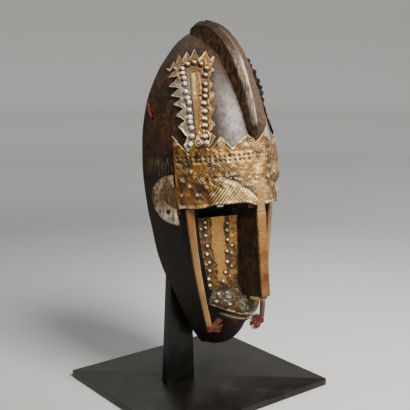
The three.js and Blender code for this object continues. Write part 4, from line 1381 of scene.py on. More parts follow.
# %% Forehead plates
# the toothed edges: both sides as (row, turn), top and foot as (turn, row)
PLATE_LEFT = [
    (250, -0.612), (259, -0.578), (264, -0.64), (271, -0.583), (275, -0.66), (281, -0.588), (286, -0.68),
    (291, -0.6), (295, -0.712), (300, -0.618), (304, -0.742), (310, -0.635), (315, -0.775), (319, -0.672),
    (324.7, -0.815), (330, -0.75),
]
PLATE_RIGHT = [
    (250, -0.4), (255, -0.362), (259, -0.4), (264.5, -0.352), (270, -0.388), (277, -0.335), (283, -0.365),
    (290.5, -0.295), (294, -0.34), (300, -0.285), (304, -0.318), (313, -0.222), (317, -0.262),
    (324.7, -0.166), (330, -0.18),
]
PLATE_TOP = [
    (-0.81, 324.7), (-0.775, 323), (-0.738, 330), (-0.69, 327), (-0.664, 335.5), (-0.6, 327.5),
    (-0.532, 336.5), (-0.486, 328.5), (-0.406, 336.5), (-0.374, 324.5), (-0.252, 332), (-0.238, 321.5),
    (-0.166, 324.7),
]
PLATE_FOOT = [
    (-0.612, 244), (-0.6, 239), (-0.58, 236.5), (-0.545, 243), (-0.5, 252), (-0.455, 244),
    (-0.425, 240), (-0.4, 243),
]
PLATE_ENDS = {"bottom": 250, "top": 326, "left": (-0.612, -0.79), "right": (-0.39, -0.185)}
PLATE_BOSSES = [
    (319, -0.606), (314, -0.596), (309, -0.578), (303.6, -0.572), (296, -0.564), (289.6, -0.55),
    (285, -0.54), (278, -0.546), (271, -0.546), (266, -0.546), (260, -0.54), (252, -0.544),
    (244, -0.562), (314, -0.31), (308, -0.344), (300, -0.366), (294, -0.38), (288.8, -0.394),
    (282.5, -0.414), (275, -0.42), (267.7, -0.43), (261, -0.434), (250.6, -0.438), (243.8, -0.436),
    (322, -0.54), (322, -0.45), (319, -0.365),
]
BOSS = {"radius": 3.2, "height": 2.9}
PLATE_LOOPS = [
    [(251, -0.606), (256, -0.586), (257.7, -0.558)], [(251, -0.606), (243.8, -0.602), (238.6, -0.58)],
    [(256, -0.43), (253, -0.408), (249, -0.404), (245, -0.418)],
]
STRIP_ROWS = [251, 267, 278, 290, 300, 311]
STRIP_LEFT = [-0.506, -0.505, -0.504, -0.503, -0.502, -0.5]
STRIP_RIGHT = [-0.446, -0.44, -0.434, -0.42, -0.41, -0.404]


def plate_place():
    """Row and turn of the plate's grid. Each edge bends the grid only close by."""
    up = np.linspace(0, 1, 165)[:, None]
    across = np.linspace(0, 1, 145)
    bottom, top = PLATE_ENDS["bottom"], PLATE_ENDS["top"]
    row = mix(bottom, top, up)
    left, right = mix(*PLATE_ENDS["left"], up), mix(*PLATE_ENDS["right"], up)
    turn = mix(left, right, across)
    turn = turn + (follow(PLATE_LEFT, row) - left) * (1 - across) ** 5
    turn = turn + (follow(PLATE_RIGHT, row) - right) * across ** 5
    row = row + (follow(PLATE_TOP, turn) - top) * up ** 7
    row = row + (follow(PLATE_FOOT, turn) - bottom) * (1 - up) ** 5
    return row, turn


plate_row, plate_turn = plate_place()
plate_base = dome(plate_row, plate_turn)
print("plate:", plate_base.shape[0], "by", plate_base.shape[1], "points")


# %% Forehead plates: relief
def nearest_path(grid, paths):
    """Distance from each grid point to the nearest of several paths."""
    return np.min([line_distance(grid, path) for path in paths], axis=0)


def plate_relief():
    """Height of the plate's front, the shares of its parts, its dirt with painted shade, and its pale
    worn places with painted highlights.
    """
    grid, row, turn = plate_base, plate_row, plate_turn
    bosses = point_distance(grid, dome_path(PLATE_BOSSES, 1))
    loops = nearest_path(grid, [dome_path(loop) for loop in PLATE_LOOPS])
    rim = nearest_path(grid, [path[::2] for path in edge_paths(grid)])
    left, right = (np.interp(row, STRIP_ROWS, side) for side in (STRIP_LEFT, STRIP_RIGHT))
    strip = smooth(-0.008, 0.004, turn - left) * fall(-0.004, 0.008, turn - right)
    strip = strip * smooth(249, 251, row) * fall(311, 313, row)
    crease, teeth = strip * hump(row - 290, 0.9), fall(2.5, 6, rim)
    bent = 0.4 + 1.3 * np.maximum(rumple(grid, 7, 35), -0.3) + 0.5 * rumple(grid, 3, 36)
    height = 0.4 * rumple(grid, 11, 31) + 0.25 * rumple(grid, 4, 32) + 0.5 * hump(rim, 1) + teeth * bent
    height += stamped(bosses, BOSS["radius"], BOSS["height"]) - 0.8 * hump(bosses - 3.6, 0.8)
    height += strip * (0.9 + 0.3 * rumple(grid * (1, 1, 0.25), 3, 33) + 0.8 * hump(row - 291.3, 0.9))
    height += 0.9 * hump(loops, 0.8) - 1.1 * crease
    beside = smooth(-0.03, -0.012, turn - left) * fall(0.012, 0.03, turn - right) * (1 - strip)
    slope = facing(grid, height)
    grime = 1.4 * smooth(0.1, 0.7, hollows(height)) + 0.75 * crease + 0.6 * beside
    grime += 0.4 * hump(bosses - 4, 0.9) + 0.35 * smooth(0.2, 0.9, rumple(grid, 5, 34))
    # painted shade on slopes turned away from the light
    grime += 0.9 * smooth(0.1, 0.5, -slope)
    # lit: a painted highlight on the side of each boss that faces the light
    lit = smooth(-0.08, 0.16, slope) * smooth(0.25, 0.6, stamped(bosses, 3.1, 1))
    pale = 0.6 * hump(rim, 0.6) + 0.5 * smooth(0.15, 0.5, slope) + 1.1 * lit + 0.7 * hump(loops, 0.6)
    shares = {"bosses": bosses, "strip": strip, "teeth": teeth}
    return {"height": height, "grime": grime, "pale": pale, **shares}


plate = plate_relief()


# %% Forehead plates: tints
def plate_tints():
    """Silvery bosses on the left, coppery ones on the right, and a golden strip between, with a painted
    highlight down the strip's left part.
    """
    row, turn, strip = plate_row, plate_turn, plate["strip"]
    left, right = (np.interp(row, STRIP_ROWS, side) for side in (STRIP_LEFT, STRIP_RIGHT))
    across = (turn - left) / (right - left)
    # bright is a painted highlight down the strip's left part; dark is its darker, coppery right part
    dark, bright = strip * smooth(0.55, 0.85, across), strip * hump(across - 0.3, 0.25)
    high = smooth(300, 318, row)
    silver = smooth(0, 1, 2 - plate["bosses"] / 3) * fall(-0.5, -0.45, turn) * fall(300, 316, row)
    silver = np.maximum(silver, 0.4 * strip * hump(row - 282, 9) * fall(-0.5, -0.486, turn))
    dull = mix(0.75, 0.12, smooth(-0.52, -0.46, turn)) * (1 - strip) * (1 - 0.6 * high)
    low_right = smooth(-0.49, -0.45, turn) * fall(262, 290, row)
    copper = 0.6 * smooth(-0.46, -0.36, turn) * (1 - strip)
    return {
        "grime": plate["grime"] * (1 - 0.75 * strip) * (1 - 0.35 * silver) + 0.45 * dark,
        "pale": plate["pale"] + bright * mix(0.2, 0.75, smooth(284, 294, row)),
        "gold": np.maximum(strip * 0.95, 0.5 * low_right + 0.4 * high),
        "copper": copper + dark * mix(0.3, 1, smooth(294, 302, row)),
        "silver": np.maximum(0.9 * silver, dull),
        "cream": 0.25 * strip + 0.25 * plate["teeth"],
    }


# %% Forehead plates: the two pieces
def add_sheet(name, node, mirror, base, height, layers):
    """One of a pair of brass sheets: mirror is 1 for the left one and -1 for the right."""
    points, faces = embossed(base, height)
    piece = build(name, (points * (mirror, 1, 1), faces))
    tint(piece, **layers)
    finish_piece(piece, brass, [node])


# the right plate has sprung off the wood beside the keel and is nearly black there
sprung = 5.5 * smooth(268, 316, plate_row) * hump(plate_turn + 0.37, 0.13)
flattened = 0.7 * hump(plate_turn + 0.44, 0.07) * fall(275, 292, plate_row)
near_black = smooth(-0.56, -0.46, plate_turn)
left_tints = plate_tints()
right_tints = {**left_tints, "near_black": near_black, "pale": left_tints["pale"] * (1 - near_black)}
sprung_height = plate["height"] * (1 - flattened) + sprung
add_sheet("left_plate", "forehead_plate_left", 1, plate_base, plate["height"], left_tints)
add_sheet("right_plate", "forehead_plate_right", -1, plate_base, sprung_height, right_tints)

# %% [markdown]
# The cheeks are flat, so their sheets are drawn straight on them: a smooth strip with ragged
# edges between two columns of bosses, on a dark punched ground.

# %% Cheek plates
CHEEK_LEFT = through([
    (79, -35.5), (86, -38.5), (102, -42.5), (122, -46.2), (140, -48), (157.3, -49.5), (163, -49.8),
])
CHEEK_INNER = -9.5
CHEEK_ENDS = (79, 162.6)
# bosses and small studs as (height, mm from the middle)
CHEEK_BOSSES = [
    (157, -42.4), (151, -42.3), (142, -42.4), (130, -41), (121, -41.5), (111, -39), (101.5, -38.5),
    (92, -38.6), (84, -36.5), (154, -19.7), (146, -20.2), (135, -19.8), (122, -20.6), (110, -20.2),
    (98, -21.9), (88, -23.8),
]
CHEEK_STUDS = [
    (149.5, -47), (109, -41.8), (119.5, -15.5), (128, -15), (139, -14.5), (104, -15.8), (93, -17),
]
# the strip between the bosses, as (height, left edge, right edge)
CHEEK_STRIP = [
    (84, -27, -19.5), (95, -29.5, -21.5), (110, -32, -21.5), (125, -34.5, -21.5),
    (142, -36.5, -22.5), (157, -36.5, -22.7),
]


def cheek_surface(v, u):
    """Point on the flat cheek, which runs from the corner of the face in to the nose."""
    across = np.abs(u) / face_profile["corner_u"](v)
    w = mix(face_profile["front"](v), face_profile["corner_w"](v), across)
    return np.stack([u, w, v + 0 * u], -1)


cheek_v = np.broadcast_to(np.linspace(*CHEEK_ENDS, 165)[:, None], (165, 90))
cheek_u = mix(CHEEK_LEFT(cheek_v), CHEEK_INNER, np.linspace(0, 1, 90))
cheek_base = cheek_surface(cheek_v, cheek_u)


# %% Cheek plates: relief and tints
def cheek_parts():
    """Height of the cheek sheet, and the layers of its finish, with painted shade and painted highlights.
    """
    grid, v, u = cheek_base, cheek_v, cheek_u
    places = [cheek_surface(*np.array(table, float).T) for table in (CHEEK_BOSSES, CHEEK_STUDS)]
    bosses, studs = (point_distance(grid, centres) for centres in places)
    heights, left, right = np.array(CHEEK_STRIP).T
    ragged = 1.3 * rumple(grid, 4.5, 41) + 0.7 * rumple(grid, 1.8, 42)
    strip = smooth(-0.4, 0.7, u - np.interp(v, heights, left) - ragged) * smooth(83, 86, v)
    strip = strip * fall(-0.7, 0.4, u - np.interp(v, heights, right) - 1.2 * ragged)
    height = 0.35 * rumple(grid, 12, 43) + (1 - strip) * 0.55 * rumple(grid, 2.6, 44)
    height += 0.55 * strip + stamped(bosses, 2.2, 2.2) + stamped(studs, 1.6, 1.3)
    slope, beyond = facing(grid, height), smooth(0.6, 1.15, np.minimum(bosses / 2.2, studs / 1.6))
    grime = (1 - strip) * (0.8 + 0.5 * rumple(grid, 3.2, 45)) * beyond + 0.8 * hump(bosses - 2.7, 0.8)
    # dirt in hollows, and painted shade on slopes turned away from the light
    grime += 0.8 * smooth(0.15, 0.7, hollows(height)) + 0.8 * smooth(0.1, 0.5, -slope)
    boss_cap, stud_cap = stamped(bosses, 2.2, 1), stamped(studs, 1.6, 1)
    # painted highlights on the lit sides and tops of the bosses and studs
    pale = 0.9 * smooth(0.05, 0.3, slope) * smooth(0.3, 0.7, np.maximum(boss_cap, 0.7 * stud_cap))
    pale += 0.5 * smooth(0.95, 1, boss_cap)
    patch = smooth(-18.3, -17, u) * smooth(0.05, 0.4, rumple(grid, 7, 46) + 0.75 * smooth(122, 134, v))
    near = np.minimum(bosses, studs)
    return height, {
        "grime": grime * (1 - 0.75 * patch),
        "pale": pale,
        "gold": 0.25 + 0.25 * strip + 0.6 * patch,
        "copper": 0.35 * patch + 0.35 * (1 - strip) * smooth(0.1, 0.6, rumple(grid, 5, 47)),
        "cream": 0.4 * strip + 0.3 * patch + 0.35 * fall(1.6, 2.4, near),
        "silver": 0.1 * fall(2, 2.8, near),
    }


cheek_height, cheek_tints = cheek_parts()
for side, mirror in (("left", 1), ("right", -1)):
    add_sheet(f"{side}_cheek", f"cheek_plate_{side}", mirror, cheek_base, cheek_height, cheek_tints)

# %% [markdown]
# The muzzle has a sheet of its own that follows the upper lip. Its grid is laid over the
# face by height and by distance from the middle, so it curls with the wood below it.

# %% Mouth plate
MOUTH_LOWER = [(0, 48.5), (10, 48.5), (22, 54), (32, 60), (33.5, 66)]
MOUTH_UPPER = [(0, 69.5), (9.3, 69.5), (9.7, 78), (33.5, 78)]
MOUTH_STUDS = [(72, -28), (64, -30), (73, -21), (60, -21)]


def mouth_place():
    """Height of each grid point before the mouth is lifted at its corners, and the surface."""
    u = np.linspace(-33.5, 33.5, 150)
    low, high = follow(MOUTH_LOWER, np.abs(u)), follow(MOUTH_UPPER, np.abs(u))
    seen = mix(low, high, np.linspace(0, 1, 60)[:, None])
    v = seen.copy()
    for _ in range(30):
        across = np.clip(np.abs(u) / face_profile["corner_u"](v), 0, 0.995)
        v = seen - MOUTH_RISE * np.maximum(0, 1 - np.abs(v - MOUTH_V) / MOUTH_REACH) * across ** 2
    return v, face(v, np.where(u < 0, -1, 1) * across * (1 - LINK_SHARE))


mouth_seen, mouth_base = mouth_place()


def mouth_studs():
    """Places of a few small bosses on both sides of the muzzle."""
    found = []
    for v, across in MOUTH_STUDS + [(v, -across) for v, across in MOUTH_STUDS]:
        away = (mouth_seen - v) ** 2 + (mouth_base[..., 0] - across) ** 2
        found.append(mouth_base[np.unravel_index(np.argmin(away), away.shape)])
    return np.array(found)


def mouth_parts():
    """Hammered muzzle with a lip along the lower edge, and the layers of its finish, with painted shade
    and painted highlights.
    """
    grid, u = mouth_base, mouth_base[..., 0]
    lip = line_distance(grid, grid[0][::2])
    bosses = point_distance(grid, mouth_studs())
    crease = hump(mouth_seen - 66.5, 0.7) * (np.abs(u) > 9)
    height = 0.6 * rumple(grid, 9, 51) + 0.45 * rumple(grid, 3.4, 52) + 0.7 * hump(lip - 1, 1.2)
    height += stamped(bosses, 1.7, 1.2) - 0.35 * crease
    slope = facing(grid, height)
    grime = 0.6 + 0.6 * rumple(grid, 5, 53) + 0.5 * rumple(grid, 2.2, 55) + crease
    # dirt in hollows, and painted shade on slopes turned away from the light
    grime += smooth(0.1, 0.6, hollows(height)) + 0.7 * smooth(0.1, 0.5, -slope)
    grime += 0.35 * smooth(12, 26, np.abs(u)) + 0.6 * smooth(-16, -4, u)
    # shine: the bands either side of the middle where the painted highlight on slopes turned to the light
    # is strongest
    shine = np.abs(np.abs(u) - 16) < 14
    pale = (0.4 + 0.4 * shine) * smooth(0.1, 0.4, slope) * (1 - crease) + 0.1 * hump(lip - 0.6, 1)
    pale += 0.25 * smooth(0.6, 0.95, stamped(bosses, 1.7, 1))
    worn = 0.5 + 0.5 * rumple(grid, 8, 54)
    return height, {
        "grime": 0.25 + 0.75 * grime, "pale": pale * (1 - 0.55 * hump(lip - 0.8, 1.6)),
        "silver": 0.6 * smooth(0.3, 0.7, worn), "copper": 0.15 * (1 - worn),
    }


mouth_height, mouth_tints = mouth_parts()
mouth = build("mouth_sheet", embossed(mouth_base, mouth_height))
tint(mouth, **mouth_tints)
finish_piece(mouth, brass, ["mouth_plate"])

# %% [markdown]
# The nose strip is one narrow copper sheet, bent round the front edge of the fin. Its upper
# end is a flat tab that laps over the band. A round-headed nail holds the band at the left: a
# profile turned about an axis, as on a lathe.

# %% Nose strip
STRIP = {"wrap": 2.2, "top": 169.5, "tab_top": 189, "bottom": 71.5, "flat": 0.6}


def strip_place():
    """Sections of the strip from the foot up: its front, and a lip turned back on each side."""
    tab = np.linspace(170, STRIP["tab_top"], 26)
    v = np.concatenate([np.linspace(STRIP["bottom"], STRIP["top"], 110), tab])[:, None]
    share = np.linspace(-1, 1, 41)
    on_tab = smooth(168, 170, v)
    across = np.clip(np.abs(share) / STRIP["flat"], 0, 1)
    back = np.clip((np.abs(share) - STRIP["flat"]) / (1 - STRIP["flat"]), 0, 1)
    u = np.sign(share) * mix(5.2, 4.4, on_tab) * across
    wrapped = mix(STRIP["wrap"], 0.35, on_tab) * back
    w = NOSE["front"] + SHEET_GAP - wrapped - 0.35 * hump(across - 1, 0.12)
    return np.stack(np.broadcast_arrays(u, w, v + 0 * share), -1)


strip_base = strip_place()


def strip_parts():
    """Height of the strip's front, with a few bands across it, and the layers of its finish."""
    v = strip_base[..., 2]
    bands = 0.7 * hump(v - 145, 0.7) + 0.5 * hump(v - 141.5, 0.7) + hump(v - 167, 1)
    height = 0.25 * rumple(strip_base, 7, 61) + 0.2 * rumple(strip_base, 2.6, 62) - 0.4 * bands
    height = height * smooth(0, 1.5, STRIP["tab_top"] - v) - 0.1
    mottled = 0.5 + 0.5 * rumple(strip_base, 6, 63)
    turned_back = smooth(0.3, 1.2, NOSE["front"] + SHEET_GAP - strip_base[..., 1])
    grime = 0.5 * bands + 0.5 * smooth(0.6, 1, mottled) + 0.8 * smooth(0.1, 0.5, hollows(height))
    grime += 0.8 * turned_back + 0.48 * fall(72, 84, v)
    cream = 0.72 * smooth(160, 168, v) + 0.27 * smooth(120, 140, v) * fall(160, 168, v)
    gold = 0.6 * fall(158, 168, v) * smooth(100, 138, v)
    return height, {
        "grime": grime, "cream": cream, "gold": gold, "pale": 0.5 * smooth(0.1, 0.4, -hollows(height)),
    }


strip_height, strip_tints = strip_parts()
strip = build("nose_sheet", embossed(strip_base, strip_height, 0))
tint(strip, **strip_tints)
finish_piece(strip, copper, ["nose_strip"])


# %% Nail
def turned(profile, centre, axis, sides):
    """Loops of a turned shape: (radius, height) pairs carried round an axis."""
    axis = np.array(axis, float) / np.linalg.norm(axis)
    first = np.cross(axis, (0, 0, 1))
    first /= np.linalg.norm(first)
    second = np.cross(axis, first)
    angle = np.linspace(0, 2 * np.pi, sides, endpoint=False)[:, None]
    circle = np.cos(angle) * first + np.sin(angle) * second
    return np.array([np.array(centre) + height * axis + radius * circle for radius, height in profile])


NAIL_PROFILE = [
    (0.2, 0), (3.6, 0), (3.9, 0.5), (3.7, 1.1), (3, 1.4), (2.5, 1.2), (2.3, 1.6), (1.8, 2.4),
    (1.1, 2.85), (0.2, 3),
]


def nail_loops():
    """The nail's head stands on the band, square to the wood below it."""
    near = np.array([-1, 0, 1])
    patch = dome(NAIL["row"] + 0.5 * near[:, None], NAIL["turn"] + 0.01 * near)
    axis = outward(patch)[1, 1]
    foot = patch[1, 1] + (BAND["gap"] + SHEET_THICKNESS + SHEET_GAP) * axis
    return turned(NAIL_PROFILE, foot, axis, 28)


loops = nail_loops()
nail = build("brow_nail_head", loft(loops))
ring = np.repeat(hump(np.arange(len(NAIL_PROFILE)) - 5, 1.2)[:, None], loops.shape[1], 1)
nail_tints = {"grime": 0.45 + 0.55 * ring, "copper": 0.9 + 0 * ring, "near_black": 0.9 * ring}
for name in SHEET_LAYERS:
    values = nail_tints.get(name, 0 * ring)
    paint(nail, **{name: np.append(values.ravel(), [0.3, 0.3])})
finish_piece(nail, copper, ["brow_nail"])

# %% [markdown]
# ## Slats and threads
# Two flat slats are let into the wood under the brow and hang in front of the cheeks. They
# are whittled: an oval section with flattened sides, which narrows towards the foot. A
# stretched cube would look sawn, so the section is carried down a path that bows a little.

# %% Slats
SLAT_SLANT = math.radians(27)
# across and deep are half the width and half the thickness, at shares of the way down
SLATS = {
    "left": {
        "side": -1, "top": (-58.8, 62.5, 173.6), "foot": (-43.4, 64, 37.5), "bow": 4.2,
        "across": [(0, 5), (0.25, 4.3), (0.6, 3.8), (1, 3.2)], "deep": [(0, 3), (0.5, 2.8), (1, 2.3)],
    },
    "right": {
        "side": 1, "top": (51, 71, 169.8), "foot": (28.4, 72.5, 35.2), "bow": 0.4,
        "across": [(0, 5.4), (0.5, 5.5), (0.8, 5.2), (0.86, 4.2), (1, 3.8)],
        "deep": [(0, 3), (0.84, 3), (0.88, 2.6), (1, 2.4)],
    },
}


def squared(circle):
    """Cosine or sine of a circle's angles, pushed out towards a square."""
    return np.sign(circle) * np.abs(circle) ** 0.6


def slat_rows(side, top, foot, bow, across, deep):
    """Sections of a slat from foot to top: flattened ovals, turned to face outwards."""
    share = np.linspace(1, 0, 130)[:, None]
    angle = np.linspace(0, 2 * np.pi, 40, endpoint=False)
    centre = mix(np.array(top), np.array(foot), share)
    bent = 0.4 * np.sin(5 * share + side) - bow * np.sin(np.pi * share)
    centre = centre + np.concatenate([bent, 0.4 * np.sin(4 * share), 0 * share], -1)
    wide = through(across)(share) * squared(np.cos(angle))
    thick = through(deep)(share) * squared(np.sin(angle))
    level = wide * math.cos(SLAT_SLANT) - thick * math.sin(SLAT_SLANT)
    forward = wide * math.sin(SLAT_SLANT) + thick * math.cos(SLAT_SLANT)
    offset = np.stack([-side * level, forward, 0 * level], -1)
    grid = centre[:, None] + offset
    cuts = 0.35 * rumple(grid * (1, 1, 0.35), 4, 71) * smooth(0, 0.03, share) * fall(0.97, 1, share)
    return grid + offset / 4 * cuts[..., None]


def slat_finish():
    """Pale wood, yellowed and reddened by handling, with dark lines along the grain, painted highlights
    and painted shade.
    """
    wood = Finish("pale slat wood")
    grain = wood.noise(700, 4, stretch=(1, 1, 0.05), roughness=0.6)
    broad = wood.noise(60, 3, stretch=(1, 1, 0.5))
    colour = wood.blend(broad.step(0.3, 0.7), (150, 112, 56), (98, 70, 34))
    colour = wood.blend(wood.layer("red"), colour, wood.blend(broad, (100, 58, 18), (140, 88, 34)))
    colour = wood.blend(grain.step(0.52, 0.7) * 0.65, colour, (72, 48, 32))
    # painted highlight down the right side, and the pale top of the right slat
    colour = wood.blend(wood.layer("pale") * 0.8, colour, (222, 190, 136))
    # the darker foot, and painted shade down the left side
    colour = wood.blend(wood.layer("dark"), colour, (56, 40, 30))
    return wood.shade(Base_Color=colour, Roughness=0.48 + grain * 0.2, Normal=wood.bump(grain, 0.0004))


slat_wood = slat_finish()


# %% Slats: wear
def slat_layers(side, loops):
    """Reddened wood, a dark foot, painted shade down the left side and a painted highlight down the right
    side of a slat.
    """
    share = np.repeat(np.linspace(1, 0, len(loops))[:, None], loops.shape[1], 1)
    outer = side * np.cos(np.linspace(0, 2 * np.pi, loops.shape[1], endpoint=False))
    patch = 0.5 + 0.5 * rumple(loops, 13, 72)
    # painted highlight down the right side of each slat
    pale = 0.5 * smooth(0.6, 0.95, -outer) * mix(0.5, 1, patch)
    if side < 0:
        red, foot = 0.85 * fall(0.12, 0.35, share) + 0.3 * patch, 0.5 * smooth(0.93, 1, share)
    else:
        red, foot = 0.8 * smooth(0.45, 0.75, share) * patch, 0.8 * smooth(0.84, 0.88, share)
        pale = pale + 0.6 * fall(0, 0.05, share)
    return {"red": red, "dark": np.maximum(foot, 0.7 * smooth(0.5, 0.95, outer)), "pale": pale}


for name, slat in SLATS.items():
    loops = slat_rows(**slat)
    piece = build(f"{name}_slat_wood", loft(loops))
    for layer, values in slat_layers(slat["side"], loops).items():
        paint(piece, **{layer: np.append(values.ravel(), [0, 0])})
    finish_piece(piece, slat_wood, [f"slat_{name}"])

# %% [markdown]
# Red and orange thread is wound round each foot and ends in a tuft. Hair would be lighter to
# compute, but only a mesh can be kept as a solid piece, so each thread is a thin tube with few
# faces. A layer says how far along it each point is, and the dye changes with that.

# %% Thread finish
def thread_finish():
    """Dull twisted thread: red, orange where the layer tip is 1 and undyed where straw is."""
    thread = Finish("dyed thread")
    fibre = thread.noise(2600, 3)
    patch = thread.noise(500, 3)
    colour = thread.blend(patch.step(0.3, 0.7), (44, 3, 6), (112, 14, 20))
    warm = thread.blend(patch.step(0.35, 0.65), (60, 28, 8), (112, 72, 20))
    colour = thread.blend(thread.layer("tip"), colour, warm)
    undyed = thread.blend(patch, (110, 78, 40), (196, 156, 98))
    colour = thread.blend(thread.layer("straw"), colour, undyed)
    colour = thread.blend(fibre.step(0.55, 0.75) * 0.5, colour, (74, 30, 24))
    fuzz = thread.bump(fibre, 0.0003)
    return thread.shade(Base_Color=colour, Roughness=0.9, Sheen_Weight=0.05, Normal=fuzz)


thread = thread_finish()


# %% Tassels
def strand(start, end, sag, radius, seed):
    """One loose thread: a bent, tapering tube from start to end."""
    chance = np.random.default_rng(seed)
    t = np.linspace(0, 1, 12)[:, None]
    bend = chance.uniform(-1, 1, 3) * (1, 1, 0.6) * sag
    curl = chance.uniform(-1, 1, 3) * sag * 0.4
    path = mix(start, end, t) + np.sin(np.pi * t) * bend + np.sin(3 * np.pi * t) * curl
    return tube(path, radius * (1 - 0.45 * t[:, 0]), 6, level=(0.3, 1, 0.2))


def winding(centre, lean, half, deep, low, high, turns):
    """Thread wound round a foot: one tube that climbs in a close helix."""
    t = np.linspace(0, 1, turns * 18)
    angle = 2 * np.pi * turns * t
    level, forward = half * np.cos(angle), deep * np.sin(angle)
    u = level * math.cos(lean) - forward * math.sin(lean)
    w = level * math.sin(lean) + forward * math.cos(lean)
    path = np.array(centre) + np.stack([u, w, mix(low, high, t)], -1)
    return tube(path, (high - low) / turns * 0.56, 8)


# the fringe is where the threads end, as mm inwards and mm down from the foot of the slat, and
# warm says over which part of its length a thread turns orange
TASSELS = {
    "left": {
        "side": -1, "foot": (-43.4, 64, 37.5), "half": 3.3, "count": 70, "warm": (0.1, 0.75),
        "fringe": [(11, -9), (16, -7), (17, -2), (14, 4), (13, 8), (7, 8)],
    },
    "right": {
        "side": 1, "foot": (27, 72.5, 35.2), "half": 3.8, "count": 190, "warm": (0.3, 0.95),
        "fringe": [(8, -7), (17, -6), (21, 0), (21, 5), (15, 11), (8, 11)],
    },
}
CORE = [(0.55, -6.3), (0.8, -5.6), (0.85, -1), (0.6, -0.4)]


def tassel(side, foot, half, count, warm, fringe):
    """Parts of a tassel and the layer that says how far along each thread is."""
    u, w, v = foot
    core = turned([(half * share, height) for share, height in CORE], foot, (0, 0.01, 1), 20)
    loops = [core, winding(foot, -side * SLAT_SLANT, half * 0.95, half * 0.7, -5.6, -1.4, 5)]
    tips = [np.zeros(part.shape[:2]) for part in loops]
    chance = np.random.default_rng(80 + side)
    inwards, down = (through(list(enumerate(column))) for column in zip(*fringe))
    for k in range(count):
        at = chance.uniform(0, len(fringe) - 1)
        reach = chance.uniform(0.6, 1.02)
        inward, forward, below = chance.uniform((0, -1.6, 1), (2, 1.6, 5.8))
        start = (u - side * inward, w + forward, v - below)
        end_v = v - 3 - (down(at) - 3) * reach
        end = (u - side * inwards(at) * reach, w + 3 + chance.uniform(-2, 2), end_v)
        radius, seed = chance.uniform(0.5, 0.85), 900 + k + 100 * side
        loops.append(strand(np.array(start), np.array(end), 1.5, radius, seed))
        tone = np.repeat(np.linspace(0, 1, len(loops[-1]))[:, None], loops[-1].shape[1], 1)
        dyed = 0.1 if chance.random() < 0.45 else 0.9
        tips.append(smooth(*warm, tone) * dyed + 0.1)
    values = np.concatenate([np.append(tip.ravel(), [tip[0, 0], tip[-1, 0]]) for tip in tips])
    return [loft(part) for part in loops], values


for name, shape in TASSELS.items():
    parts, values = tassel(**shape)
    piece = build(f"{name}_tassel_thread", *parts)
    paint(piece, tip=values, straw=0 * values)
    finish_piece(piece, thread, [f"tassel_{name}"])

# %% [markdown]
# Two more threads are left. One passes under the nose strip and holds its foot, and one is
# the end of a lace, knotted at the left rim near its hole.

# %% Nose thread and lace
NOSE_THREAD = {"radius": 1.8, "v": 68.7, "half": 6.5, "front": 110, "shoulder": 107, "back": 96}
LACE = {"knot": (292, -0.965), "end": (276, -0.895), "radius": 1.6, "clearance": 0.6}


def twisted(path, radius, strands=3, pitch=5.0):
    """Strands that wind round a path, as in a cord."""
    length = np.concatenate([[0], np.cumsum(np.linalg.norm(np.diff(path, axis=0), axis=-1))])
    level = (0.1, 0.2, 1)
    side, other = square_to(path, level)
    parts = []
    for k in range(strands):
        angle = (2 * np.pi * (length / pitch + k / strands))[:, None]
        centre = path + 0.5 * radius * (np.cos(angle) * side + np.sin(angle) * other)
        parts.append(loft(tube(centre, radius * 0.56, 8, level)))
    return parts


def nose_thread_path():
    """Round the front of the fin, from one side of its root to the other."""
    half, v = NOSE_THREAD["half"], NOSE_THREAD["v"]
    back, shoulder = NOSE_THREAD["back"], NOSE_THREAD["shoulder"]
    left = [(-half, back, v), (-half, mix(back, shoulder, 0.6), v), (-half * 0.8, shoulder + 1, v)]
    right = [(-u, w, height) for u, w, height in reversed(left)]
    return smooth_through([*left, (0, NOSE_THREAD["front"], v), *right], 90)


def lace_path():
    """From the knot at the rim down to the end, a little off the wood all the way."""
    t = np.linspace(0, 1, 60)
    (first_row, first_turn), (last_row, last_turn) = LACE["knot"], LACE["end"]
    near = dome(mix(first_row, last_row, t), mix(first_turn, last_turn, t))
    out = near * (1, 1, 0)
    out /= np.linalg.norm(out, axis=-1, keepdims=True)
    wave = 0.5 * np.sin(9 * t)[:, None] * np.array([0, 1, 0])
    return near + out * (LACE["radius"] + LACE["clearance"]) + wave


for name, node, path, radius, straw in (
    ("nose_cord", "nose_thread", nose_thread_path(), NOSE_THREAD["radius"], 1.0),
    ("lace_cord", "lacing_thread", lace_path(), LACE["radius"], 0.0),
):
    piece = build(name, *twisted(path, radius))
    count = len(piece.data.vertices)
    paint(piece, tip=np.zeros(count), straw=np.full(count, straw))
    finish_piece(piece, thread, [node])

# %% [markdown]
# ## The steel stand
# A flat plate, an upright bar that leans a little and tapers, and two arms that reach into
# the hollow. Boxes with bevels would do for the plate, but loops of a rounded rectangle, one
# above the other, give the bar its lean and its taper at once. The arms stay as the CAD
# solids. All are dark, with the blotches and bright specks of blackened steel.

# %% Stand
# the post's left and right edges are given at the foot, with how much they lean per mm of rise
BASE = {"width": 240, "depth": 218, "thickness": 8.5, "edge": 0.9, "corner": 2.5}
POST = {
    "front": -3, "thickness": 11.5, "top": 262, "left": -49.5, "right": -7.6,
    "left_lean": 0.052, "right_lean": -0.026, "edge": 0.8, "corner": 1,
}
STAND_GAP = 0.3


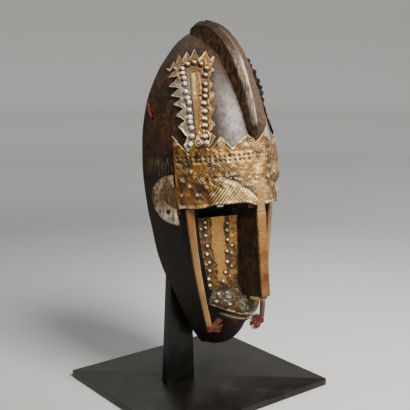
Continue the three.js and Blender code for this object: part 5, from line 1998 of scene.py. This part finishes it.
def slab_loop(low, high, z, corner, inset):
    """Rounded rectangle at height z, as points round it."""
    (x0, y0), (x1, y1) = low, high
    angle = np.linspace(0, np.pi / 2, 6)
    loop = []
    for k, (x, y) in enumerate([(x1, y1), (x0, y1), (x0, y0), (x1, y0)]):
        turn = angle + k * np.pi / 2
        cx = x + corner * (-1 if x == x1 else 1) + (corner - inset) * np.cos(turn)
        cy = y + corner * (-1 if y == y1 else 1) + (corner - inset) * np.sin(turn)
        loop.append(np.stack([cx, cy, z + 0 * turn], -1))
    return np.concatenate(loop)


def slab(levels, corner):
    """Points and faces through rounded rectangles given as (low, high, z, inset)."""
    loops = np.array([slab_loop(low, high, z, corner, inset) for low, high, z, inset in levels])
    flat = np.concatenate([loops.reshape(-1, 3), [loops[0].mean(0)], [loops[-1].mean(0)]])
    return flat * MM, loft(loops)[1]


def base_part():
    """The plate, with a bevel all round above and below."""
    x, y, top, edge = BASE["width"] / 2, BASE["depth"] / 2, BASE["thickness"], BASE["edge"]
    bevel = [(0, edge), (edge, 0), (top - edge, 0), (top - edge * 0.3, edge * 0.3), (top, edge)]
    return slab([((-x, -y), (x, y), z, inset) for z, inset in bevel], BASE["corner"])


def post_part():
    """The bar: its left and right edges lean in as it rises, each by its own slope."""
    foot, top, edge = BASE["thickness"] + STAND_GAP, POST["top"], POST["edge"]
    middle = [(z, 0) for z in np.linspace(20, 250, 12)]
    levels = []
    for z, inset in [(foot, edge), (foot + edge, 0), *middle, (top - edge, 0), (top, edge)]:
        left = POST["left"] + POST["left_lean"] * (z - BASE["thickness"])
        right = POST["right"] + POST["right_lean"] * (z - BASE["thickness"])
        levels.append(((left, POST["front"]), (right, POST["front"] + POST["thickness"]), z, inset))
    return slab(levels, POST["corner"])


def steel_finish(name, dark, light):
    """Blackened steel: two tones in clouds, smudges, darker spots and a few bright specks."""
    steel = Finish(name)
    cloud = steel.noise(16, 5, roughness=0.6)
    smudge = steel.noise(60, 5, roughness=0.7)
    speck = steel.noise(800, 3)
    dust = steel.noise(1900, 2).step(0.66, 0.74) * cloud.step(0.45, 0.6)
    colour = steel.blend(cloud.step(0.35, 0.65), dark, light)
    colour = steel.blend(smudge.step(0.52, 0.75) * 0.4, colour, (76, 72, 60))
    colour = steel.blend(speck.step(0.55, 0.72) * 0.4, colour, (20, 18, 15))
    colour = steel.blend(dust * 0.6, colour, (176, 170, 156))
    rough = 0.2 + smudge * 0.22 + speck * 0.08
    return steel.shade(
        Base_Color=colour, Roughness=rough.clamp(0.1, 0.9), Metallic=0.4,
        Normal=steel.bump(smudge * 0.5 + speck * 0.3, 0.0002),
    )


plate_steel = steel_finish("browned steel", (21, 19, 15), (36, 33, 27))
bar_steel = steel_finish("black steel", (17, 15, 12), (26, 23, 19))
finish_piece(build("base_plate", base_part()), plate_steel, ["stand_base"])
finish_piece(build("post_bar", post_part()), bar_steel, ["stand_post"])
for node in ("stand_arm_upper", "stand_arm_lower"):
    arm = frame["nodes"][node]
    arm.data.materials.clear()
    arm.data.materials.append(bar_steel)
print("stand done")
